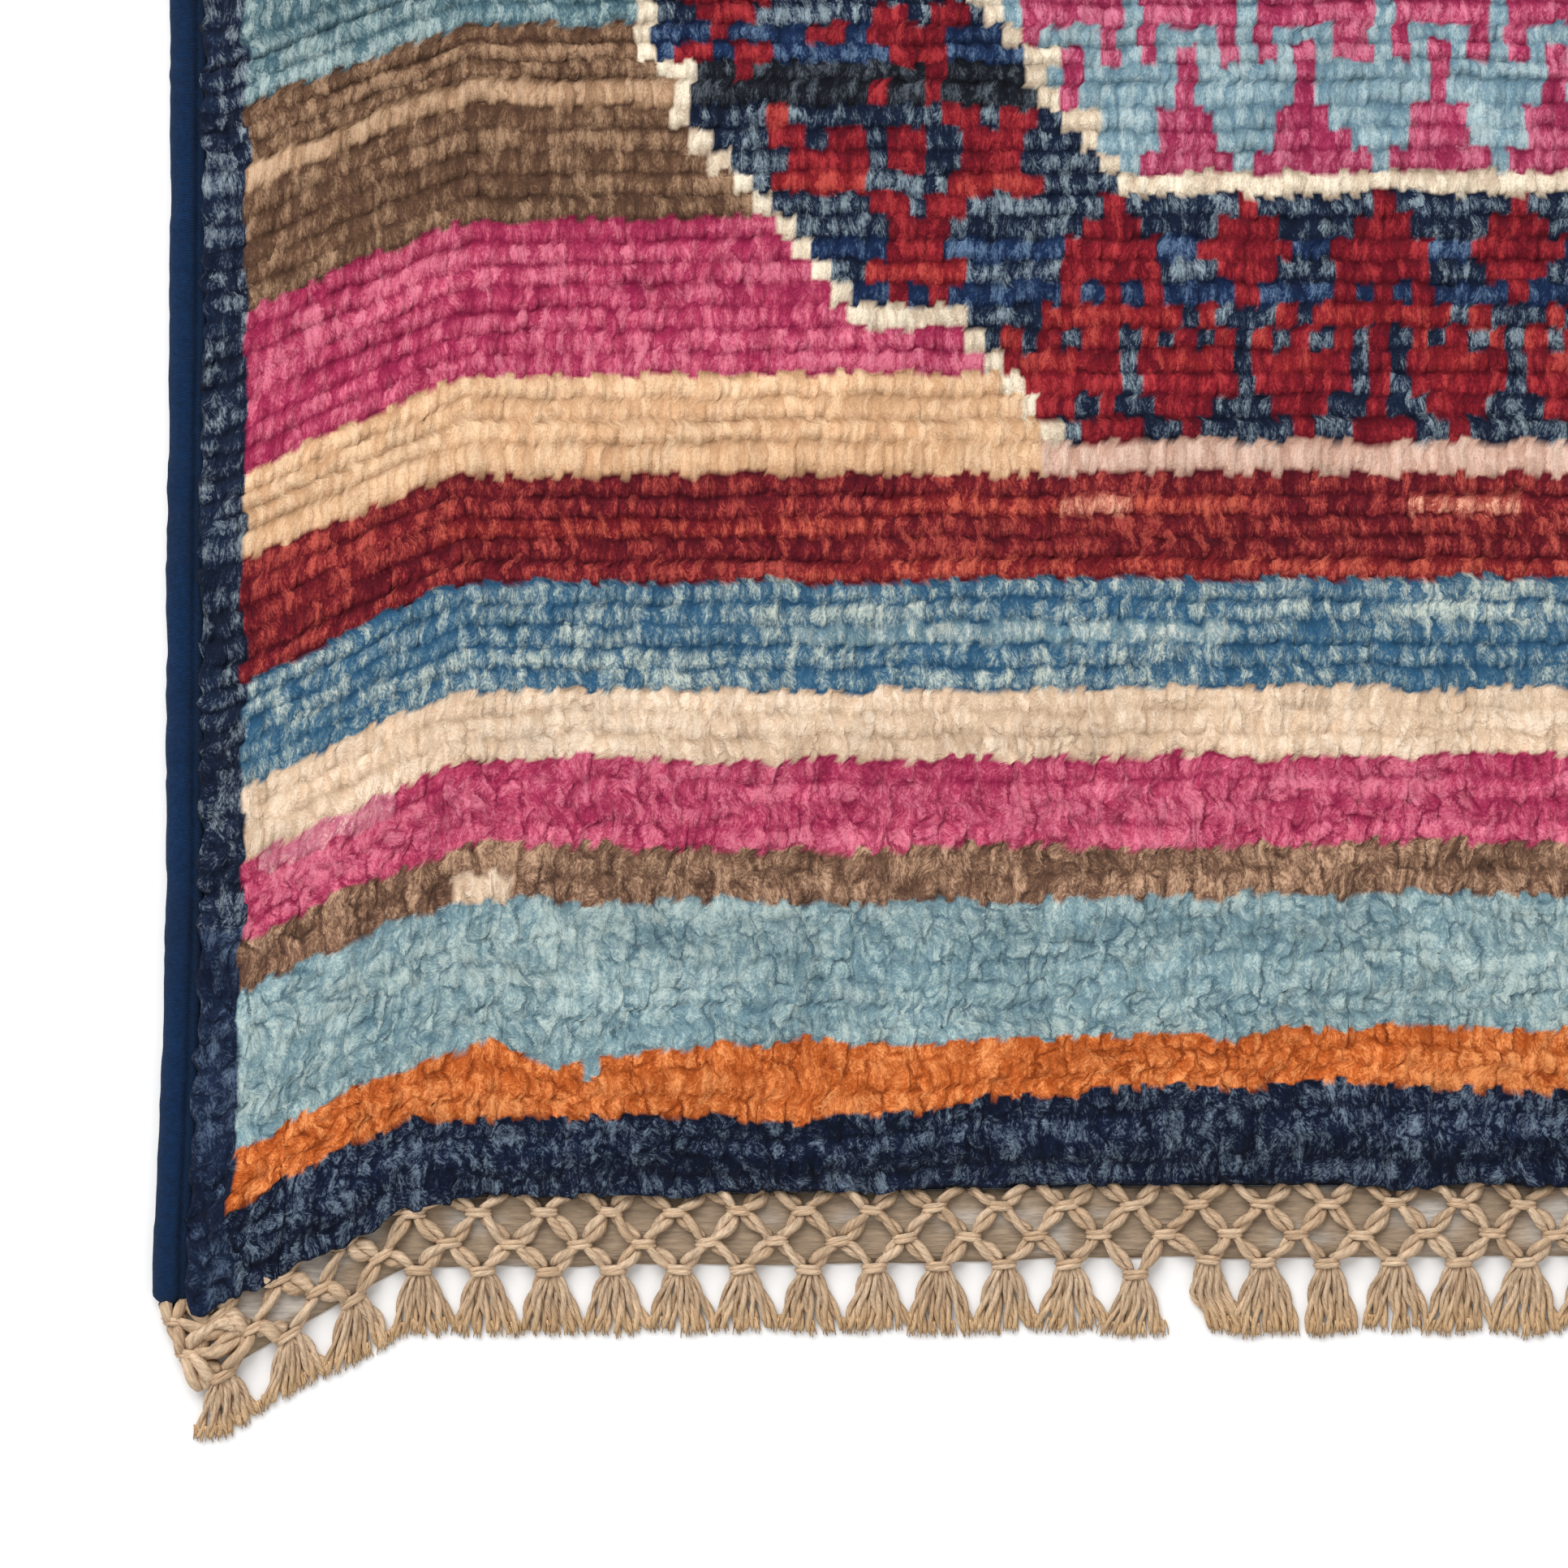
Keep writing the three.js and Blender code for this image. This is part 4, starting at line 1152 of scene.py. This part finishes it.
class Strands:
    """Collects plied strands, each with its own points, faces, shades and run of fibres."""

    def __init__(self, seed):
        self.points, self.walls, self.caps, self.shades, self.runs = [], [], [], [], []
        self.count = 0
        self.strand = 0
        self.luck = np.random.default_rng(seed)

    def add(
        self, stops, steps, widths, uneven_width, sides, plies, turns, upright=UP, tint=1, tip=1
    ):
        """Plied strands through lists of stops (across, out, height). widths takes the smooth
        routes and says how thick they are, uneven_width is the range of each strand's own
        share of it, and turns is how often the plies turn in a metre."""
        routes = curve_through(np.array(stops) * MM, steps)
        many = len(routes)
        widths = widths(routes) * MM
        if uneven_width:
            widths = widths * self.luck.uniform(*uneven_width, (many, 1))
        ahead = np.gradient(routes, axis=1)
        ahead /= np.linalg.norm(ahead, axis=2, keepdims=True)
        aside = np.cross(ahead, upright)
        aside /= np.linalg.norm(aside, axis=2, keepdims=True)
        lift = np.cross(aside, ahead)
        run = np.cumsum(np.linalg.norm(np.diff(routes, axis=1), axis=2), axis=1)
        run = np.concatenate([np.zeros((many, 1)), run], axis=1)

        # The plies turn round the middle of the strand, and each has its own round section
        start = self.luck.uniform(0, math.tau, (many, 1, 1))
        ply_turn = start + math.tau * (run * turns)[..., None] + math.tau * np.arange(plies) / plies
        from_middle, radius = (0.25, 0.29) if plies > 1 else (0, 0.5)
        offset = around(ply_turn, aside[:, :, None], lift[:, :, None])
        centre = routes[:, :, None] + (widths * from_middle)[..., None, None] * offset
        round_ply = math.tau * np.arange(sides) / sides
        ring = around(round_ply, aside[:, :, None, None], lift[:, :, None, None])
        rings = centre[:, :, :, None] + (radius * widths)[:, :, None, None, None] * ring
        rings = np.moveaxis(rings, 2, 1).reshape(many * plies, steps * sides, 3)
        centre = np.moveaxis(centre, 2, 1).reshape(many * plies, steps, 3)
        points = np.concatenate([rings, centre[:, [0, -1]]], axis=1)
        walls, near, far = tube_faces(steps, sides)
        first = self.count + points.shape[1] * np.arange(many * plies)[:, None, None]
        self.walls.append((walls[None] + first).reshape(-1, 4))
        self.caps.append((np.concatenate([near, far])[None] + first).reshape(-1, 3))
        self.points.append(points.reshape(-1, 3))
        self.count += many * plies * points.shape[1]

        tone = self.luck.uniform(0, 1, (many * plies, 1, 1))
        shades = COTTON_SHADE + (COTTON_TAN - COTTON_SHADE) * (0.35 + 0.65 * tone)
        toward_tip = np.repeat(ease(np.linspace(-0.6, 1, steps)), sides)
        toward_tip = np.append(toward_tip, [0, 1])[None, :, None]
        shades = shades * tint * (1 + (tip - 1) * toward_tip)
        self.shades.append(shades.reshape(-1, 3))
        long_run = np.repeat(np.repeat(run, plies, axis=0) / MM, sides, axis=1)
        fibre_turn = np.tile(round_ply, (many * plies, steps)) + FIBRE_SLANT * long_run
        own = self.strand + np.arange(many * plies)[:, None] * STRAND_APART
        runs = [np.cos(fibre_turn) * 0.6 + own, np.sin(fibre_turn) * 0.6, long_run]
        runs = np.stack(runs, axis=-1)
        runs = np.concatenate([runs, runs[:, [0, -1]]], axis=1)
        self.runs.append(runs.reshape(-1, 3))
        self.strand += many * plies * STRAND_APART

    def piece(self, name, node, end):
        places = np.concatenate(self.points)
        along = -places[:, 1] if end < 0 else PILE_LENGTH + places[:, 1]
        faces = [np.concatenate(self.walls), np.concatenate(self.caps)]
        if end > 0:
            faces = turned_over(faces)
        return make_piece(
            name,
            lay(places[:, 0], along, np.maximum(places[:, 2], 0.05 * MM)),
            faces,
            cotton,
            node,
            {"yarn": np.concatenate(self.shades)},
            threads=np.concatenate(self.runs),
        )


def curve_through(stops, steps):
    """Smooth routes (strands, steps, 3) through the same number of stops for each strand."""
    count = stops.shape[1]
    t = np.linspace(0, count - 1, steps)
    i = np.clip(np.floor(t).astype(int), 0, count - 2)
    nearby = [np.maximum(i - 1, 0), i, i + 1, np.minimum(i + 2, count - 1)]
    return smooth_curve(*[stops[:, stop] for stop in nearby], (t - i)[None, :, None])


def cord_spans(cords, knots, side):
    """The two ends of each cord of a list, which is mirrored where side is -1."""
    spans = []
    for begin, begin_aside, begin_out, until, until_aside, until_out in cords:
        start = (knots[begin][0] + begin_aside * side, knots[begin][1] + begin_out)
        stop = (knots[until][0] + until_aside * side, knots[until][1] + until_out)
        spans.append((start, stop))
    return spans


def add_net(strands, detail, chosen, rows):
    """Adds the cords of the net, each from one knot to the next, and gives the edge knots."""
    first, middle, last = rows
    spans, edge_knots = [], []
    for k in chosen:
        knots = {"edge": (first[k][0], 0), "first": first[k], "last": last[k]}
        spans += cord_spans(FOOT_CORDS, knots, -1) + cord_spans(FOOT_CORDS, knots, 1)
        if k < TASSELS - 1:
            knots.update(middle=middle[k], next_first=first[k + 1], next_last=last[k + 1])
            spans += cord_spans(NET_CORDS, knots, 1)
        if k in (0, TASSELS - 1):
            side = -1 if k == 0 else 1
            high, low = [(first[k][0] + aside * side, out) for aside, out in EDGE_KNOTS]
            edge_knots += [high, low]
            knots.update(edge=(high[0], 0), high=high, low=low, middle=middle[min(k, TASSELS - 2)])
            spans += cord_spans(CORNER_CORDS, knots, side)
    stops = []
    for start, stop in spans:
        start, stop = np.array(start), np.array(stop)
        span = stop - start
        bow = np.array([span[1], -span[0]]) * strands.luck.uniform(-NET_BOW, NET_BOW)
        line = [start + span * t + bow * math.sin(math.pi * t) for t in (0, 0.33, 0.67, 1)]
        heights = NET_FLOOR + NET_HEIGHTS + strands.luck.uniform(-NET_UNEVEN, NET_UNEVEN, 4)
        if start[1] < 0:
            heights[:2] = NET_FLOOR - ROOT_DEPTH, NET_FLOOR + ROOT_RISE
        stops.append([(point[0], point[1], z) for point, z in zip(line, heights)])

    def widths(routes):
        """Thickest halfway, and thicker all along near the corners of the rug."""
        from_corner = FRINGE_HALF - np.abs(routes[:, :, 0]).mean(axis=1, keepdims=True)
        swell = NET_WIDTH + NET_SWELL * np.sin(math.pi * np.linspace(0, 1, detail.net)) ** 0.9
        plump = CORNER_PLUMP - (CORNER_PLUMP - 1) * ease(from_corner / (CORNER_REACH * MM))
        return swell[None] * plump

    strands.add(stops, detail.net, widths, (0.88, 1.12), detail.sides, 2, NET_TURNS)
    return edge_knots


def add_knots(strands, detail, places):
    """Adds two turns of thread at each knot, across its cords."""
    stops = []
    for place in places:
        tilt = strands.luck.uniform(-0.35, 0.35)
        for turn in (-THREAD_PITCH / 2, THREAD_PITCH / 2):
            half = THREAD_HALF + strands.luck.uniform(-0.15, 0.15)
            stops.append([
                (place[0] + half * x, place[1] + turn + tilt * x, NET_FLOOR + z)
                for x, z in THREAD_ARC
            ])
    strands.add(
        stops,
        detail.knot,
        lambda routes: np.full(routes.shape[:2], THREAD),
        (0.88, 1.1),
        detail.sides,
        1,
        0,
        upright=OUTWARD,
        tint=THREAD_TINT,
    )


def add_tassels(strands, detail, tassels, end):
    """Adds plied cords from under the last knot to their frayed tips on the floor."""
    luck = strands.luck
    stops, tips = [], []
    for (across, out, lean, spread), length, tip_shifts in tassels:
        trimmed = np.interp(across, DIP_ACROSS / MM, DIP_DEPTHS / MM) if end < 0 else 0
        tips_out = (out + NET_ROWS[LAST_ROW][0]) / 2 + length - trimmed
        for i in range(detail.cords):
            place = 2 * i / (detail.cords - 1) - 1
            root = place * TASSEL_ROOT
            bend = place * TASSEL_BEND * spread + luck.uniform(-0.4, 0.4)
            tip = place * TASSEL_TIP * spread + lean + luck.uniform(-0.5, 0.5)
            reach = tips_out + tip_shifts[i * 3 // detail.cords] - 1.2 - 0.5 * abs(place)
            rise = 0.7 if i % 2 else 0.0
            sway = luck.uniform(-0.35, 0.35)
            stops.append([
                (across + root, out + 0.3, NET_FLOOR + 1.0),
                (across + (root + bend) / 2, out + 2.4, NET_FLOOR + 0.9 + rise * 0.5),
                (across + bend, out + BEND_OUT, 1.2 + rise),
                (
                    across + (bend + tip) / 2 + sway,
                    (out + BEND_OUT + reach) / 2,
                    1.15 + rise * 0.6,
                ),
                (across + tip, reach, 1.0),
            ])
            tips.append((across + tip, reach, tip - bend))
    t = np.linspace(0, 1, detail.tassel)
    swell = TASSEL_WIDTH + detail.swell * ease(t / 0.6) - TIP_NARROWING * ease((t - 0.8) / 0.2)
    strands.add(
        stops,
        detail.tassel,
        lambda routes: swell[None],
        (0.85, 1.15),
        detail.sides,
        2,
        TASSEL_TURNS,
        tip=TIP_TINT,
    )

    stops = []
    for across, out, drift in tips:
        for _ in range(detail.frays):
            fan = luck.uniform(-1, 1)
            reach = luck.uniform(0.2, 1.1)
            begin = (across + 0.5 * fan, out - 2.2, 1.2 + luck.uniform(-0.3, 0.6))
            tip = (across + 1.15 * fan + 0.12 * drift, out + reach, luck.uniform(0.4, 1.2))
            half = [(a + b) / 2 + luck.uniform(-0.2, 0.2) for a, b in zip(begin, tip)]
            stops.append([begin, half, tip])
    thinning = np.linspace(*FRAY_WIDTHS, detail.fray)[None]
    # The frays take the ochre tint, partly brightened as painted light
    strands.add(stops, detail.fray, lambda routes: thinning, None, 3, 1, 0, tint=FRAY_PAINTED_LIGHT_TINT)


def fringe(name, node, end, chance_seed, seed, near_tassels):
    """One end's fringe, whose first tassels from the left may be finer for the view up close."""
    chance = fringe_random(chance_seed)

    def scatter(amount):
        return (2 * next(chance) - 1) * amount

    rows = []
    for r, (row_out, knots, uneven_row) in enumerate(NET_ROWS):
        places = []
        for k in range(knots):
            across = (k - (knots - 1) / 2) * TASSEL_PITCH / MM + scatter(uneven_row)
            out = row_out + scatter(uneven_row)
            lean = scatter(LEAN)
            odd = ODD_TASSELS.get((end, k)) if r == LAST_ROW else None
            lower, aside, spread, comb = odd or EVEN_TASSEL
            places.append((across + aside, out + lower, lean + comb, spread))
        rows.append(places)
    tassels = []
    for place in rows[LAST_ROW]:
        length = FRINGE_REACH - NET_ROWS[LAST_ROW][0] + scatter(UNEVEN_TASSEL)
        tassels.append((place, length, [scatter(UNEVEN_LOCK) for _ in range(3)]))

    strands = Strands(seed)
    for detail, chosen in (
        (NEAR_DETAIL, range(near_tassels)),
        (FAR_DETAIL, range(near_tassels, TASSELS)),
    ):
        if chosen:
            edge_knots = add_net(strands, detail, chosen, rows)
            places = [row[k] for row in rows for k in chosen if k < len(row)]
            add_knots(strands, detail, places + edge_knots)
            add_tassels(strands, detail, [tassels[k] for k in chosen], end)
    return strands.piece(name, node, end)


fringe_pieces = [
    fringe("fringe_cords_front", "fringe_front", -1, 11, 61, 23),
    fringe("fringe_cords_back", "fringe_back", 1, 23, 62, 0),
]


# The studio: a pale floor, one large soft lamp high beyond the back end, and even light from
# all round. The camera hangs over the front left corner and looks straight down.

FLOOR_HALF = 8.0
floor_corners = [(-1, -1), (1, -1), (1, 1), (-1, 1)]
floor_points = [(x * FLOOR_HALF, y * FLOOR_HALF, 0) for x, y in floor_corners]
floor_mesh = bpy.data.meshes.new("floor")
floor_mesh.from_pydata(floor_points, [], [(0, 1, 2, 3)])
floor_white = Finish("floor_white", roughness=1.0, gloss=0.0)
floor_white.shader.inputs["Base Color"].default_value = (0.93, 0.93, 0.93, 1)
floor_mesh.materials.append(floor_white.material)
floor = bpy.data.objects.new("floor", floor_mesh)
bpy.context.scene.collection.objects.link(floor)

world = bpy.data.worlds.new("studio")
world.use_nodes = True
world.node_tree.nodes["Background"].inputs["Color"].default_value = (1, 1, 1, 1)
world.node_tree.nodes["Background"].inputs["Strength"].default_value = 0.78
bpy.context.scene.world = world

LAMP_PLACE = (-0.75, 1.1, 1.9)
LAMP_AIM = (-0.1, -0.1, 0)
lamp_data = bpy.data.lights.new("softbox", "AREA")
lamp_data.shape = "SQUARE"
lamp_data.size = 1.6
lamp_data.energy = 42
lamp = bpy.data.objects.new("softbox", lamp_data)
lamp.location = LAMP_PLACE
aim = np.array(LAMP_AIM) - np.array(lamp.location)
tilt = math.atan2(math.hypot(aim[0], aim[1]), -aim[2])
lamp.rotation_euler = (tilt, 0, math.atan2(-aim[0], aim[1]))
bpy.context.scene.collection.objects.link(lamp)

FRAME_WIDTH = 289.8 * MM
LENS = 150
SENSOR = 36
VIEW_X = -185.85 * MM - CENTRE_X
VIEW_Y = 74.4 * MM - CENTRE_Y
camera_data = bpy.data.cameras.new("camera")
camera_data.lens = LENS
camera_data.sensor_width = SENSOR
camera = bpy.data.objects.new("camera", camera_data)
camera.location = (VIEW_X, VIEW_Y, PILE_THICKNESS + FRAME_WIDTH * LENS / SENSOR)
bpy.context.scene.collection.objects.link(camera)
bpy.context.scene.camera = camera
bpy.context.scene.view_settings.view_transform = "Standard"
